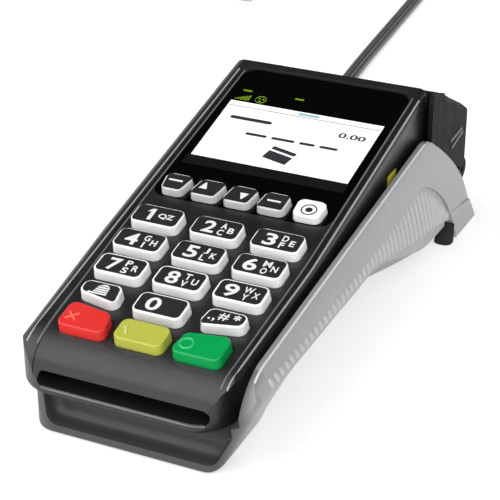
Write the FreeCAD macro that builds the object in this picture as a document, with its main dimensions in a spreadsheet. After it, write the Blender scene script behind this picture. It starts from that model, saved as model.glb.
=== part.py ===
"""Counter payment terminal with keypad, chip slot, swipe groove and receipt printer.

Millimetres.  X is to the user's right, Y to the rear, Z up from the table.  The pieces
are drawn from the keypad's centre line (X) and the front lip (Y), and the finished part
is moved so that its origin lies under the middle of its footprint.  The deck is the
tilted plane that carries the keys and the display: its own frame has u to the right, v
up the slope and w square to it.
"""
import FreeCAD
import Part
import math
import os
import Sketcher

Vector = FreeCAD.Vector
Rotation = FreeCAD.Rotation
Placement = FreeCAD.Placement

SIZES = [
    ("deck_tilt", 12.54, "slope of keypad and display, degrees"),
    ("deck_front_z", 25.36, "height of the deck plane above the front lip"),
    ("deck_thick", 2.0, "thickness of the deck"),
    ("deck_inset", 0.3, "depth of the deck below the rim beside it"),
    ("rim_rear_y", 155.8, "rear end of the display rim"),
    ("rim_inner_front", 28.9, "half width between the rims at the front"),
    ("rim_inner_rear", 31.9, "half width between the rims beside the display"),
    ("side_front_half", 36.6, "half width of the left flank at the front"),
    ("side_rear_half", 38.0, "half width of the left flank beside the display"),
    ("flare_end_y", 60.0, "end of the housing's widening"),
    ("flank_round", 4.6, "radius of the left upper edge"),
    ("groove_round", 2.8, "radius of the upper edge at the swipe groove"),
    ("housing_wall", 2.0, "wall of the upper housing"),
    ("nose_round", 13.5, "plan radius of the nose corner at the left"),
    ("nose_round_right", 12.0, "plan radius of the nose corner at the groove"),
    ("nose_long", 14.0, "length of the curved nose"),
    ("lip_bottom_z", 13.0, "underside of the front lip"),
    ("lip_top_z", 16.1, "upper side of the front lip, the floor of the chip slot"),
    ("chip_slot_high", 2.2, "height of the chip card slot"),
    ("mouth_low_z", 15.0, "lower edge of the mouth in front of the chip slot"),
    ("mouth_high_z", 19.5, "upper edge of the mouth in front of the chip slot"),
    ("mouth_deep", 8.3, "depth of the mouth in front of the chip slot"),
    ("mouth_round", 1.9, "corner radius of the mouth"),
    ("chip_slot_wide", 54.6, "width of the chip card slot"),
    ("chip_slot_deep", 46.0, "depth of the chip card slot"),
    ("parting_rise", 0.113, "rise of the parting line per millimetre"),
    ("parting_gap", 0.15, "gap between the two casings"),
    ("casing_bottom", 0.6, "height of the casing floor above the table"),
    ("casing_wall", 2.2, "wall of the lower casing"),
    ("flank_wall", 3.2, "wall of the lower casing's flank, measured level"),
    ("base_front_half", 30.0, "half width of the foot at the front"),
    ("base_waist_half", 22.0, "half width of the foot at the hand grip"),
    ("base_rear_half", 37.0, "half width of the foot at the rear"),
    ("base_round", 4.5, "plan radius of the foot's right front corner"),
    ("base_round_left", 8.0, "plan radius of the foot's left front corner"),
    ("base_edge", 2.6, "radius of the foot's lower edges at the front"),
    ("recess_left", 24.4, "left end of the finger recess below the lip"),
    ("recess_right", 29.4, "right end of the finger recess at its sill"),
    ("recess_deep", 6.0, "depth of the finger recess"),
    ("recess_sill", 3.0, "height of the sill below the finger recess"),
    ("recess_round", 3.0, "radius in the finger recess"),
    ("groove_inner_x", 34.2, "housing side of the swipe groove"),
    ("groove_wide", 2.2, "width of the swipe groove"),
    ("groove_floor", 3.5, "height of the groove floor above the parting line"),
    ("wing_top_x", 38.5, "outer line of the wing's upper edge"),
    ("wing_top_z", 29.2, "height of the wing's edge, carried on to the front"),
    ("wing_crown", 1.2, "rounding of the wing's upper edge"),
    ("wing_out_x", 41.2, "outermost line of the wing beside the keypad"),
    ("wing_rear_x", 42.5, "outermost line of the wing at the rear"),
    ("wing_nose", 15.0, "length of the wing's curved front end"),
    ("wing_round", 8.0, "plan radius of the wing's front corner"),
    ("grip_deep", 0.9, "depth of the ribbed hand grip at its rear end"),
    ("wing_peak_y", 145.5, "rear end of the wing's upper edge"),
    ("rail_low_z", 23.2, "underside of the wing beside the keypad"),
    ("rail_rear_z", 7.8, "underside of the wing at the rear"),
    ("foot_out_x", 44.2, "outer side of the rear foot on the table"),
    ("foot_front_y", 165.4, "front end of the rear foot"),
    ("foot_high", 13.5, "height of the crease above the rear foot's front"),
    ("side_pad_high", 9.0, "height of the pad in front of the rear foot"),
    ("side_pad_long", 4.4, "length of the pad in front of the rear foot"),
    ("foot_rear_y", 188.3, "rear end of the lower casing"),
    ("cover_rear_y", 193.6, "rear end of the paper cover"),
    ("cover_top_z", 40.2, "height of the cover's rear upper edge"),
    ("cover_front_z", 58.6, "height of the cover's front edge"),
    ("cover_crown", 1.3, "crown of the cover's top"),
    ("cover_round", 4.2, "radius of the cover's upper side edges"),
    ("cover_wall", 1.8, "wall of the paper cover"),
    ("cover_gap", 0.3, "clearance round the paper cover"),
    ("paper_gap", 1.9, "paper exit between the rim and the cover"),
    ("cheek_front_y", 151.8, "front end of the cover's outer cheek"),
    ("groove_deep", 12.7, "depth of the swipe groove in the cover"),
    ("hinge_y", 189.4, "hinge axis of the cover"),
    ("hinge_z", 17.6, "height of the cover's hinge axis"),
    ("hinge_barrel", 4.0, "radius of the cover's hinge barrel"),
    ("hinge_pin", 1.25, "radius of the hinge pin"),
    ("pin_gap", 0.06, "running clearance on a pin or shaft"),
    ("lug_x", 13.0, "inner side of a hinge lug"),
    ("lug_wide", 4.0, "width of a hinge lug"),
    ("key_wide", 16.0, "width of a digit key"),
    ("key_deep", 8.9, "depth of a digit key"),
    ("key_high", 2.75, "height of a key above the deck plane"),
    ("key_skirt", 2.5, "depth of a key's skirt below the deck plane"),
    ("key_round", 2.4, "corner radius of a key"),
    ("key_edge", 0.45, "radius of a key's upper edge"),
    ("key_draft", 4.0, "draft of a key's sides, degrees"),
    ("key_pitch_x", 20.05, "pitch of the key columns"),
    ("key_pitch_v", 12.65, "pitch of the key rows along the deck"),
    ("digit_row_v", 40.6, "centre of the 7-8-9 row along the deck"),
    ("key_fan", 0.3, "widening of the key columns from row to row"),
    ("keypad_u", -0.3, "middle key column beside the centre line"),
    ("side_key_wide", 13.6, "width of the keys beside the 0"),
    ("side_key_deep", 8.0, "depth of the keys beside the 0"),
    ("side_key_lean", 1.3, "slant of the inner sides of the keys beside the 0"),
    ("side_key_rise", 2.6, "slant of the lower sides of the keys beside the 0"),
    ("side_key_pitch", 19.85, "distance of these keys from the middle column"),
    ("enter_wide", 15.5, "width of the red, yellow and green keys"),
    ("enter_deep", 8.6, "depth of the red, yellow and green keys"),
    ("enter_lean", 1.6, "slant of the inner sides of the red and green keys"),
    ("enter_rise", 2.0, "slant of the upper sides of the red and green keys"),
    ("enter_pitch", 18.3, "distance of the red and green keys from the middle column"),
    ("enter_row_v", 15.8, "centre of the yellow key along the deck"),
    ("function_deep", 8.4, "depth of a function key"),
    ("function_high", 2.05, "height of a function key above the deck plane"),
    ("function_row_v", 84.3, "centre of the function keys along the deck"),
    ("key_f1_place", -23.7, "place of the first function key across the deck"),
    ("key_f1_wide", 7.0, "width of the first function key at its lower side"),
    ("key_f1_left", -1.1, "slant of its left side"),
    ("key_f1_right", 1.9, "slant of its right side"),
    ("key_up_place", -12.9, "place of the second function key across the deck"),
    ("key_up_wide", 9.3, "width of the second function key"),
    ("key_up_left", 1.6, "slant of its left side"),
    ("key_up_right", 1.7, "slant of its right side"),
    ("key_down_place", -1.4, "place of the third function key across the deck"),
    ("key_down_wide", 9.2, "width of the third function key"),
    ("key_down_left", 1.3, "slant of its left side"),
    ("key_down_right", 1.4, "slant of its right side"),
    ("key_f4_place", 10.4, "place of the fourth function key across the deck"),
    ("key_f4_wide", 9.6, "width of the fourth function key"),
    ("key_f4_left", 1.1, "slant of its left side"),
    ("key_f4_right", 0.1, "slant of its right side"),
    ("key_dot_place", 22.6, "place of the fifth function key across the deck"),
    ("key_dot_wide", 8.7, "width of the fifth function key"),
    ("key_dot_left", -0.5, "slant of its left side"),
    ("key_dot_right", 0.5, "slant of its right side"),
    ("key_gap", 0.35, "clearance between a key and its opening"),
    ("key_travel", 0.9, "travel of a key"),
    ("window_half", 30.6, "half width of the display window"),
    ("window_low_v", 79.0, "lower edge of the window along the deck"),
    ("window_top_v", 155.0, "upper edge of the window along the deck"),
    ("window_round", 5.0, "corner radius of the window"),
    ("window_thick", 1.2, "thickness of the window"),
    ("display_half", 28.0, "half width of the display module"),
    ("display_low_v", 101.0, "lower edge of the display module"),
    ("display_top_v", 145.5, "upper edge of the display module"),
    ("display_thick", 3.9, "thickness of the display module"),
    ("fit_gap", 0.15, "clearance of seated pieces"),
    ("mat_half", 28.6, "half width of the key mat"),
    ("mat_thick", 1.0, "thickness of the key mat"),
    ("board_half", 29.0, "half width of the main board"),
    ("board_low_v", 18.0, "front edge of the main board"),
    ("board_top_v", 149.0, "rear edge of the main board"),
    ("board_thick", 1.6, "thickness of the main board"),
    ("screw_x", 10.1, "distance of the casing screws from the centre line"),
    ("screw_front_y", 58.2, "front casing screws"),
    ("screw_rear_y", 144.6, "rear casing screws"),
    ("post_radius", 3.0, "radius of the casing's screw posts"),
    ("boss_radius", 2.4, "radius of the housing's screw bosses"),
    ("screw_radius", 1.2, "radius of a casing screw's shank"),
    ("screw_head", 2.2, "radius of a casing screw's head"),
    ("reader_half", 28.6, "half width of the chip card reader"),
    ("reader_front_y", 8.8, "front face of the chip card reader"),
    ("reader_high", 6.6, "height of the chip card reader"),
    ("blade_row_y", 23.9, "front end of the first row of chip contacts"),
    ("blade_long", 6.6, "length of a chip contact"),
    ("blade_pitch", 3.8, "pitch of the chip contacts"),
    ("head_y", 124.0, "centre of the magnetic head"),
    ("head_long", 9.0, "length of the magnetic head"),
    ("head_high", 8.0, "height of the magnetic head"),
    ("head_deep", 4.4, "depth of the magnetic head"),
    ("head_proud", 0.5, "reach of the magnetic head into the groove"),
    ("platen_y", 161.6, "axis of the platen roller"),
    ("platen_z", 48.4, "height of the platen roller's axis"),
    ("platen_radius", 4.0, "radius of the platen roller"),
    ("shaft_radius", 1.5, "radius of the platen shaft"),
    ("bracket_wide", 1.4, "width of a platen bearing"),
    ("gear_module", 0.6, "tooth size of the printer gears"),
    ("gear_wide", 1.6, "width of the printer gears"),
    ("gear_slack", 0.12, "slack between meshing teeth"),
    ("frame_plate", 1.0, "plate of the printer frame"),
    ("motor_angle", 206.0, "direction of the motor from the drive gear, degrees"),
    ("motor_radius", 6.5, "radius of the printer motor"),
    ("motor_long", 15.0, "length of the printer motor"),
    ("roll_y", 167.4, "axis of the paper roll"),
    ("roll_radius", 16.4, "radius of the paper roll"),
    ("roll_half", 28.5, "half width of the paper roll"),
    ("roll_side_gap", 0.2, "clearance from the paper's edge to the platen bearings"),
    ("frame_side_gap", 1.1, "distance from the paper's edge to the outside of the printer frame"),
    ("gear_side_gap", 0.8, "distance from the printer frame to the gears"),
    ("roll_core", 6.0, "radius of the roll's bore"),
    ("pad_radius", 5.0, "radius of a rubber foot"),
    ("pad_thick", 1.3, "thickness of a rubber foot"),
    ("door_half", 17.0, "half width of the bottom door"),
    ("door_front_y", 72.0, "front end of the bottom door"),
    ("door_long", 40.0, "length of the bottom door"),
    ("strand", 3.4, "diameter of one strand of the twin cord"),
    ("strand_pitch", 3.3, "distance between the two strands"),
    ("cord_x", -30.0, "place of the cord's exit"),
    ("sleeve_long", 12.0, "length of the strain relief"),
    ("coil_radius", 40.0, "outer radius of the coiled cord"),
    ("coil_gap", 0.7, "gap between the coil's turns"),
    ("coil_turns", 2.0, "turns of a coil layer"),
    ("plug_long", 21.0, "length of the plug"),
    ("plug_wide", 11.7, "width of the plug"),
    ("plug_high", 8.0, "height of the plug"),
]

CASING_STATIONS = (-1, 6, 13, 20, 30, 42, 54, 66, 78, 90, 102, 114, 126, 138, 150, 162, 176, 190)
ACROSS, ALONG = 0, 1
FUNCTION_KEYS = ("key_f1", "key_up", "key_down", "key_f4", "key_dot")
KEY_SHAPES = {
    "digit": ("key_wide", "key_deep", "key_high", ()),
    "paper": ("side_key_wide", "side_key_deep", "key_high",
              ((0, ALONG, 1, "side_key_rise"), (2, ACROSS, -1, "side_key_lean"))),
    "sign": ("side_key_wide", "side_key_deep", "key_high",
             ((1, ALONG, 1, "side_key_rise"), (3, ACROSS, 1, "side_key_lean"))),
    "cancel": ("enter_wide", "enter_deep", "key_high",
               ((2, ACROSS, -1, "enter_lean"), (3, ALONG, 1, "enter_rise"))),
    "clear": ("enter_wide", "enter_deep", "key_high", ()),
    "enter": ("enter_wide", "enter_deep", "key_high",
              ((3, ACROSS, 1, "enter_lean"), (2, ALONG, 1, "enter_rise"))),
}
for function_key in FUNCTION_KEYS:
    KEY_SHAPES[function_key] = (function_key + "_wide", "function_deep", "function_high",
                                ((3, ACROSS, 1, function_key + "_left"),
                                 (2, ACROSS, 1, function_key + "_right")))
GEAR_TEETH = {"platen": 16, "drive": 26, "motor": 12}
CORD_ROUTE = ((-30.0, 219.0, 3.4), (-34.2, 240.0, 1.75), (-40.6, 259.0, 1.72),
              (-47.2, 278.0, 1.7), (-59.7, 432.0, 1.7))

doc = FreeCAD.newDocument("Terminal")
sheet = doc.addObject("Spreadsheet::Sheet", "Sizes")
for row, (alias, number, note) in enumerate(SIZES, start=1):
    sheet.set("A%d" % row, note)
    sheet.set("B%d" % row, str(number))
    sheet.setAlias("B%d" % row, alias)
doc.recompute()
pieces = []


def size(name):
    """Return one driving size from the sheet."""
    return float(getattr(sheet, name))


def keep(thing):
    """List a document object as a sub-part."""
    pieces.append(thing)
    return thing


def feature(label, shape, placement=None):
    """Put a computed shape into the document as a sub-part."""
    thing = doc.addObject("Part::Feature", label)
    thing.Label = label
    thing.Shape = shape
    if placement is not None:
        thing.Placement = placement
    return keep(thing)


# Lines, planes and blends that several pieces share

def slope():
    """Rise of the deck per millimetre of Y."""
    return math.tan(math.radians(size("deck_tilt")))


def deck_z(y):
    """Height of the deck plane above the table."""
    return size("deck_front_z") + slope() * y


def deck_frame():
    """Placement of the deck's own frame."""
    return Placement(Vector(0, 0, size("deck_front_z")), Rotation(Vector(1, 0, 0), size("deck_tilt")))


def on_deck(shape):
    """Move a shape from the deck's frame to the part's frame."""
    placed = shape.copy()
    placed.Placement = deck_frame().multiply(placed.Placement)
    return placed


def parting_z(y):
    """Height of the line where the two casings meet."""
    return size("lip_bottom_z") + size("parting_rise") * y


def groove_z(y):
    """Height of the swipe groove's floor."""
    return parting_z(y) + size("groove_floor")


def wing_z(y):
    """Height of the wing's upper edge."""
    return size("wing_top_z") + size("parting_rise") * y


def blend(y, start, end, first, last):
    """Pass smoothly from one value to another between two places."""
    share = min(max((y - start) / (end - start), 0.0), 1.0)
    return first + (last - first) * share * share * (3 - 2 * share)


# Basic shapes

def block(x0, x1, y0, y1, z0, z1):
    """Box between two corners."""
    return Part.makeBox(x1 - x0, y1 - y0, z1 - z0, Vector(x0, y0, z0))


def across(points, x0, x1):
    """Prism along X on a closed outline of (y, z) points."""
    outline = Part.makePolygon([Vector(x0, y, z) for y, z in points + [points[0]]])
    return Part.Face(outline).extrude(Vector(x1 - x0, 0, 0))


def rod(radius, x0, x1, y, z):
    """Cylinder along X."""
    return Part.makeCylinder(radius, x1 - x0, Vector(x0, y, z), Vector(1, 0, 0))


def post(radius, x, y, z0, z1):
    """Upright cylinder."""
    return Part.makeCylinder(radius, z1 - z0, Vector(x, y, z0))


def rounded_wire(corners, radii, height=0.0):
    """Closed outline of straight lines with a tangent arc at each corner."""
    count = len(corners)
    places = [Vector(x, y, height) for x, y in corners]
    edges = []
    ends = []
    for index in range(count):
        here = places[index]
        back = (places[index - 1] - here).normalize()
        ahead = (places[(index + 1) % count] - here).normalize()
        half = back.getAngle(ahead) / 2
        reach = radii[index] / math.tan(half)
        middle = (back + ahead).normalize()
        top = here + middle * (radii[index] / math.sin(half) - radii[index])
        ends.append((here + back * reach, top, here + ahead * reach))
    for index in range(count):
        start, top, stop = ends[index]
        edges.append(Part.Arc(start, top, stop).toShape())
        following = ends[(index + 1) % count][0]
        if (following - stop).Length > 1e-6:
            edges.append(Part.makeLine(stop, following))
    return Part.Wire(edges)


def rounded_slab(corners, radius, w0, w1):
    """Plate on a rounded outline between two heights."""
    radii = [radius] * len(corners)
    return Part.Face(rounded_wire(corners, radii, w0)).extrude(Vector(0, 0, w1 - w0))


def rectangle(half, low, high):
    """Corners of an upright rectangle on the centre line."""
    return [(-half, low), (half, low), (half, high), (-half, high)]


# Upper housing

def side_outline(inset):
    """Side view of the housing, moved inwards by a wall."""
    drop = inset / math.cos(math.radians(size("deck_tilt")))
    rear = size("rim_rear_y")
    nose = size("nose_long")
    lip = size("lip_top_z")
    front = Vector(0, inset + 1.2, lip + size("chip_slot_high"))
    deck_start = Vector(0, nose + inset / 2, deck_z(nose + inset / 2) - drop)
    deck_end = Vector(0, rear, deck_z(rear) - drop)
    high_pull = deck_start - Vector(0, 1, slope()) * (nose * 0.46)
    low_pull = front + Vector(0, 0.5, (deck_start.z - front.z) * 0.55)
    curve = Part.BezierCurve()
    curve.setPoles([deck_start, high_pull, low_pull, front])
    corners = [front, Vector(0, inset, lip), Vector(0, inset, size("lip_bottom_z") - inset),
               Vector(0, rear, parting_z(rear) - inset), deck_end, deck_start]
    lines = [Part.makeLine(a, b) for a, b in zip(corners, corners[1:])]
    return Part.Wire([curve.toShape()] + lines)


def side_prism(inset):
    """Body of the housing's side view over the whole width."""
    wide = 2 * size("side_rear_half") + 10
    face = Part.Face(side_outline(inset))
    face.translate(Vector(-wide / 2, 0, 0))
    return face.extrude(Vector(wide, 0, 0))


def plan_prism(inset):
    """Body of the housing's plan, with its rounded nose corners."""
    left_front = -size("side_front_half") + inset
    left = -size("side_rear_half") + inset
    right = size("groove_inner_x") - inset
    right_front = right - 2.0
    flare = size("flare_end_y")
    rear = size("rim_rear_y") + 20
    corners = [(left_front, inset), (right_front, inset), (right, flare), (right, rear),
               (left, rear), (left, flare)]
    radii = [size("nose_round") - inset, size("nose_round_right") - inset, 300.0, 1.0, 1.0, 300.0]
    face = Part.Face(rounded_wire(corners, radii))
    return face.extrude(Vector(0, 0, 80))


def rounded_top(inset):
    """Body with the housing's rounded upper side edges, along the deck."""
    radii = [0.5, 0.5, max(size("groove_round") - inset, 0.3), size("flank_round") - inset]
    wires = []
    for v, left in ((-5.0, size("side_front_half")), (size("flare_end_y"), size("side_rear_half")),
                    (size("rim_rear_y") + 12, size("side_rear_half"))):
        shrink = 1.6 if v < 0 else 0.0
        corners = [(-left + inset, -60.0), (size("groove_inner_x") - inset - shrink, -60.0),
                   (size("groove_inner_x") - inset - shrink, -inset), (-left + inset, -inset)]
        wire = rounded_wire(corners, radii)
        wire.Placement = Placement(Vector(0, v, 0), Rotation(Vector(1, 0, 0), 90))
        wires.append(wire)
    return on_deck(Part.makeLoft(wires, True, True))


def housing_body(inset):
    """Closed body of the housing, moved inwards by a wall."""
    return side_prism(inset).common(plan_prism(inset)).common(rounded_top(inset))


def rim_inner(v):
    """Half width of the deck between its rims."""
    return size("rim_inner_front") if v < size("flare_end_y") / 2 else size("rim_inner_rear")


def deck_region():
    """Upright body over the deck between its rims."""
    flare = size("flare_end_y")
    front = size("rim_inner_front")
    rear = size("rim_inner_rear")
    end = size("rim_rear_y") - 3.2
    corners = [(-front, -5.0), (front, -5.0), (rear, flare), (rear, end), (-rear, end), (-rear, flare)]
    radii = [0.5, 0.5, 100.0, size("window_round"), size("window_round"), 100.0]
    return Part.Face(rounded_wire(corners, radii, size("lip_top_z") + 0.6)).extrude(Vector(0, 0, 80))


def key_outline(kind, grow=0.0):
    """Corners of one kind of key, grown on every side."""
    wide, deep, _, shifts = KEY_SHAPES[kind]
    half = size(wide) / 2 + grow
    reach = size(deep) / 2 + grow
    corners = [[-half, -reach], [half, -reach], [half, reach], [-half, reach]]
    for corner, way, sign, alias in shifts:
        corners[corner][way] += sign * size(alias)
    return [tuple(corner) for corner in corners]


def key_list():
    """Name, kind and deck place of every key."""
    middle = size("keypad_u")
    row = size("digit_row_v")
    step = size("key_pitch_v")
    keys = []
    for number in range(1, 10):
        column = (number - 1) % 3 - 1
        line = 2 - (number - 1) // 3
        pitch = size("key_pitch_x") + size("key_fan") * (line - 1)
        keys.append(("key_%d" % number, "digit", middle + column * pitch, row + line * step))
    keys.append(("key_paper", "paper", middle - size("side_key_pitch"), row - step))
    keys.append(("key_0", "digit", middle, row - step))
    keys.append(("key_sign", "sign", middle + size("side_key_pitch"), row - step))
    keys.append(("key_cancel", "cancel", middle - size("enter_pitch"), size("enter_row_v")))
    keys.append(("key_clear", "clear", middle, size("enter_row_v")))
    keys.append(("key_enter", "enter", middle + size("enter_pitch"), size("enter_row_v")))
    for name in FUNCTION_KEYS:
        keys.append((name, name, size(name + "_place"), size("function_row_v")))
    return keys


def key_openings():
    """Openings of all keys through the deck, in the deck's frame."""
    cuts = []
    draft = size("key_skirt") * math.tan(math.radians(size("key_draft")))
    for name, kind, u, v in key_list():
        corners = key_outline(kind, size("key_gap") + draft)
        hole = rounded_slab(corners, size("key_round") + size("key_gap"), -8.0, 8.0)
        hole.translate(Vector(u, v, 0))
        cuts.append(hole)
    return cuts


def window_recess():
    """Seat of the window and the opening for the display, in the deck's frame."""
    gap = size("fit_gap")
    corners = rectangle(size("window_half") + gap, size("window_low_v") - gap, size("window_top_v") + gap)
    seat = rounded_slab(corners, size("window_round") + gap, -size("window_thick") - gap, 3.0)
    half = size("display_half") + 2 * gap
    opening = block(-half, half, size("display_low_v") - 2 * gap, size("display_top_v") + 2 * gap, -9, 0)
    return [seat, opening]


def screw_places():
    """Places of the four casing screws."""
    return [(x, y) for y in (size("screw_front_y"), size("screw_rear_y"))
            for x in (-size("screw_x"), size("screw_x"))]


def post_top_z(y):
    """Height where a casing post meets a housing boss."""
    return parting_z(y) + 2.0


def mouth():
    """Widened opening in front of the chip slot."""
    corners = rectangle(size("chip_slot_wide") / 2, size("mouth_low_z"), size("mouth_high_z"))
    outline = rounded_wire(corners, [size("mouth_round")] * 4)
    outline.Placement = Placement(Vector(0, size("mouth_deep"), 0), Rotation(Vector(1, 0, 0), 90))
    return Part.Face(outline).extrude(Vector(0, -size("mouth_deep") - 4, 0))


def upper_housing():
    """Upper housing: nose, deck, rims and side walls in one moulding."""
    outer = housing_body(0.0)
    hollow = housing_body(size("housing_wall"))
    open_rear = size("rim_rear_y")
    hollow = hollow.fuse(hollow.common(block(-60, 60, open_rear - 6, open_rear, 0, 80)).translated(
        Vector(0, 5, 0)))
    shell = outer.cut(hollow)
    skin = side_prism(0.0).cut(side_prism(size("deck_inset")))
    shell = shell.cut(skin.common(deck_region()))
    half = size("chip_slot_wide") / 2
    slot_low = size("lip_top_z")
    shell = shell.cut(block(-half, half, -3, size("reader_front_y"), slot_low,
                            slot_low + size("chip_slot_high")))
    floor = block(-half - 2, half + 2, size("housing_wall") - 0.4, size("reader_front_y") - 0.3,
                  size("lip_bottom_z") + 1.0, slot_low)
    shell = shell.fuse(floor.common(outer)).cut(mouth())
    for x, y in screw_places():
        boss = post(size("boss_radius"), x, y, post_top_z(y) + size("parting_gap"), deck_z(y) - 1.0)
        bore = post(size("screw_radius") - 0.1, x, y, post_top_z(y) - 1, post_top_z(y) + 9)
        shell = shell.fuse(boss).cut(bore)
    head_z = groove_z(size("head_y")) + size("head_high")
    reach_y = size("head_long") / 2 + size("fit_gap")
    reach_z = size("head_high") / 2 + size("fit_gap")
    shell = shell.cut(block(size("groove_inner_x") - 5, size("groove_inner_x") + 2,
                            size("head_y") - reach_y, size("head_y") + reach_y,
                            head_z - reach_z, head_z + reach_z))
    cuts = [on_deck(cut) for cut in key_openings() + window_recess()]
    return feature("upper_housing", shell.cut(Part.makeCompound(cuts)).removeSplitter())


# Lower casing

def casing_section(y, inset):
    """Closed section of the lower casing at one station."""
    base = blend(y, 28, 60, size("base_front_half"), size("base_waist_half"))
    base = blend(y, 104, 160, base, size("base_rear_half"))
    edge = blend(y, 10, 40, size("base_edge"), 1.0)
    hollow = blend(y, 14, 50, 0.0, 1.0)
    rail_x = blend(y, 120, 175, size("wing_out_x"), size("wing_rear_x"))
    rail_z = blend(y, 88, 148, size("rail_low_z"), size("rail_rear_z"))
    edge_x = blend(y, 0, 12, size("wing_top_x") - 3.6, size("wing_top_x"))
    left_x = -blend(y, 4, 60, size("base_front_half") + 2.5, size("side_rear_half") - 0.5)
    level = size("flank_wall") * (1 if inset else 0)
    low = size("casing_bottom") + inset
    top = wing_z(y) + (30 if inset else 0)
    place = [Vector(x, y, z) for x, z in (
        (-base + level, low), (base - level, low), (rail_x - level, rail_z),
        (edge_x - level, top), (left_x + inset, top), (left_x + inset, parting_z(y)))]

    def flank(foot, rail):
        """Rounded lower edge of a flank and its curve up to the rail."""
        rise = rail.z - foot.z
        out = rail.x - foot.x
        side = 1 if foot.x > 0 else -1
        low_pole = foot + Vector(out * (0.33 - 0.29 * hollow), 0, rise * (0.3 + 0.1 * hollow))
        high_pole = foot + Vector(out * (0.7 - 0.25 * hollow), 0, rise * (0.62 + 0.18 * hollow))
        ahead = (low_pole - foot).normalize() * edge
        start = foot - Vector(side * edge, 0, 0)
        return [curved([start, foot, foot + ahead]), curved([foot + ahead, low_pole, high_pole, rail])]

    rise = top - rail_z
    crown = size("wing_crown")
    wing_end = place[3] + Vector(0.15, 0, -crown)
    wing = curved([place[2], place[2] + Vector(0, 0, rise * 0.35),
                   wing_end + Vector((place[2].x - wing_end.x) * 0.4, 0, -rise * 0.3), wing_end])
    crest = curved([wing_end, place[3], place[3] - Vector(crown, 0, 0)])
    left = flank(place[0], place[5])
    right = flank(place[1], place[2])
    sole = Part.makeLine(left[0].Vertexes[0].Point, right[0].Vertexes[0].Point)
    level_top = Part.makeLine(place[3] - Vector(crown, 0, 0), place[4])
    return Part.Wire([sole] + right + [wing, crest, level_top, Part.makeLine(place[4], place[5])] + left[::-1])


def curved(poles):
    """Bezier edge on a list of poles."""
    curve = Part.BezierCurve()
    curve.setPoles(poles)
    return curve.toShape()


def casing_body(inset):
    """Body of the lower casing lofted through its stations."""
    return Part.makeLoft([casing_section(y, inset) for y in CASING_STATIONS], True, False)


def cover_seam():
    """Side view line on which the cover closes, from front to rear."""
    rear = size("hinge_y") - size("hinge_barrel") - size("cover_gap")
    return [(size("rim_rear_y") + 0.4, parting_z(size("rim_rear_y"))), (rear, size("hinge_z") + 2.5)]


def casing_side():
    """Side view of the lower casing with the wing's nose and its rear slope."""
    peak = size("wing_peak_y")
    rear = size("foot_rear_y")
    nose = size("wing_nose")
    start = Vector(-60, nose, wing_z(nose))
    low_front = Vector(-60, 0.0, size("lip_top_z"))
    front = curved([start, Vector(-60, nose * 0.55, wing_z(nose) - 0.8),
                    Vector(-60, 1.2, wing_z(0) - 5.5), low_front])
    top = Vector(-60, peak - 4, wing_z(peak - 4))
    shoulder = Vector(-60, peak + 6, wing_z(peak) - 3.2)
    crest = curved([top, Vector(-60, peak, wing_z(peak) + 0.2), Vector(-60, peak + 3, wing_z(peak) - 1.0),
                    shoulder])
    heel = Vector(-60, rear, size("casing_bottom"))
    slope_edge = curved([shoulder, Vector(-60, peak + 24, wing_z(peak) - 15.5),
                         Vector(-60, rear - 9, 20), heel])
    toe = Vector(-60, 0, size("casing_bottom"))
    wire = Part.Wire([front, Part.makeLine(low_front, toe), Part.makeLine(toe, heel),
                      slope_edge, crest, Part.makeLine(top, start)])
    return Part.Face(wire).extrude(Vector(120, 0, 0))


def casing_plan():
    """Plan of the lower casing, whose right front corner leans out from the table to the wing."""
    left = size("base_front_half") + 0.1
    rear = size("foot_rear_y")
    wide = size("foot_out_x") + 4
    wires = []
    for height, right, rounding in ((0.0, size("base_front_half") - 0.5, size("base_round")),
                                    (size("rail_low_z"), size("wing_out_x") - 0.5, size("wing_round"))):
        corners = [(-left, 0), (right, 0), (right + 2.4, 24), (wide, 60), (wide, rear), (-wide, rear),
                   (-wide, 60), (-left - 1.4, 18)]
        radii = [size("base_round_left"), rounding, 10, 10, 2.0, 2.0, 10, 4]
        wires.append(rounded_wire(corners, radii, height))
    foot = Part.makeLoft(wires, True, True)
    return foot.fuse(Part.Face(wires[1]).extrude(Vector(0, 0, 60)))


def rear_foot():
    """Flared rear foot below the wing, with room for its pad."""
    low = size("casing_bottom")
    sections = []
    for y, out, upper, high in ((size("foot_front_y") - 12, size("foot_out_x") - 0.7,
                                 size("wing_rear_x") - 0.4, size("foot_high")),
                                (size("foot_rear_y"), size("foot_out_x"),
                                 size("wing_rear_x") + 0.7, size("foot_high") * 0.6)):
        points = [(28, low), (out, low), (upper, high), (28, high)]
        sections.append(Part.makePolygon([Vector(x, y, z) for x, z in points + [points[0]]]))
    return Part.makeLoft(sections, True, True)


def grip_recess():
    """What the ribbed hand grip lies deeper than the wing round it, more towards the rear."""
    front = size("wing_nose") - 3.0
    peak = size("wing_peak_y") - 7.5
    foot = size("foot_front_y") + 2.6
    start = Vector(25, front, wing_z(front) - 3.6)
    crest = Vector(25, peak, wing_z(peak) - 12.6)
    upper = curved([start, Vector(25, front + 48, start.z + 8.5), Vector(25, peak - 43, crest.z + 1.8), crest])
    end = Vector(25, foot, -5)
    rear = curved([crest, Vector(25, peak + 10, crest.z - 3.2), Vector(25, foot + 1, 16), end])
    low = Vector(25, front, -5)
    region = Part.Face(Part.Wire([Part.makeLine(low, start), upper, rear, Part.makeLine(end, low)]))
    turn = math.degrees(math.atan(size("grip_deep") / (foot - front)))
    inner = casing_body(0.0)
    inner.rotate(Vector(size("wing_out_x"), front - 5, 0), Vector(0, 0, 1), turn)
    return region.extrude(Vector(40, 0, 0)).cut(inner)


def pad_inner_x():
    """Inner side of the pad in front of the rear foot."""
    return size("base_rear_half") + 0.2


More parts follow.
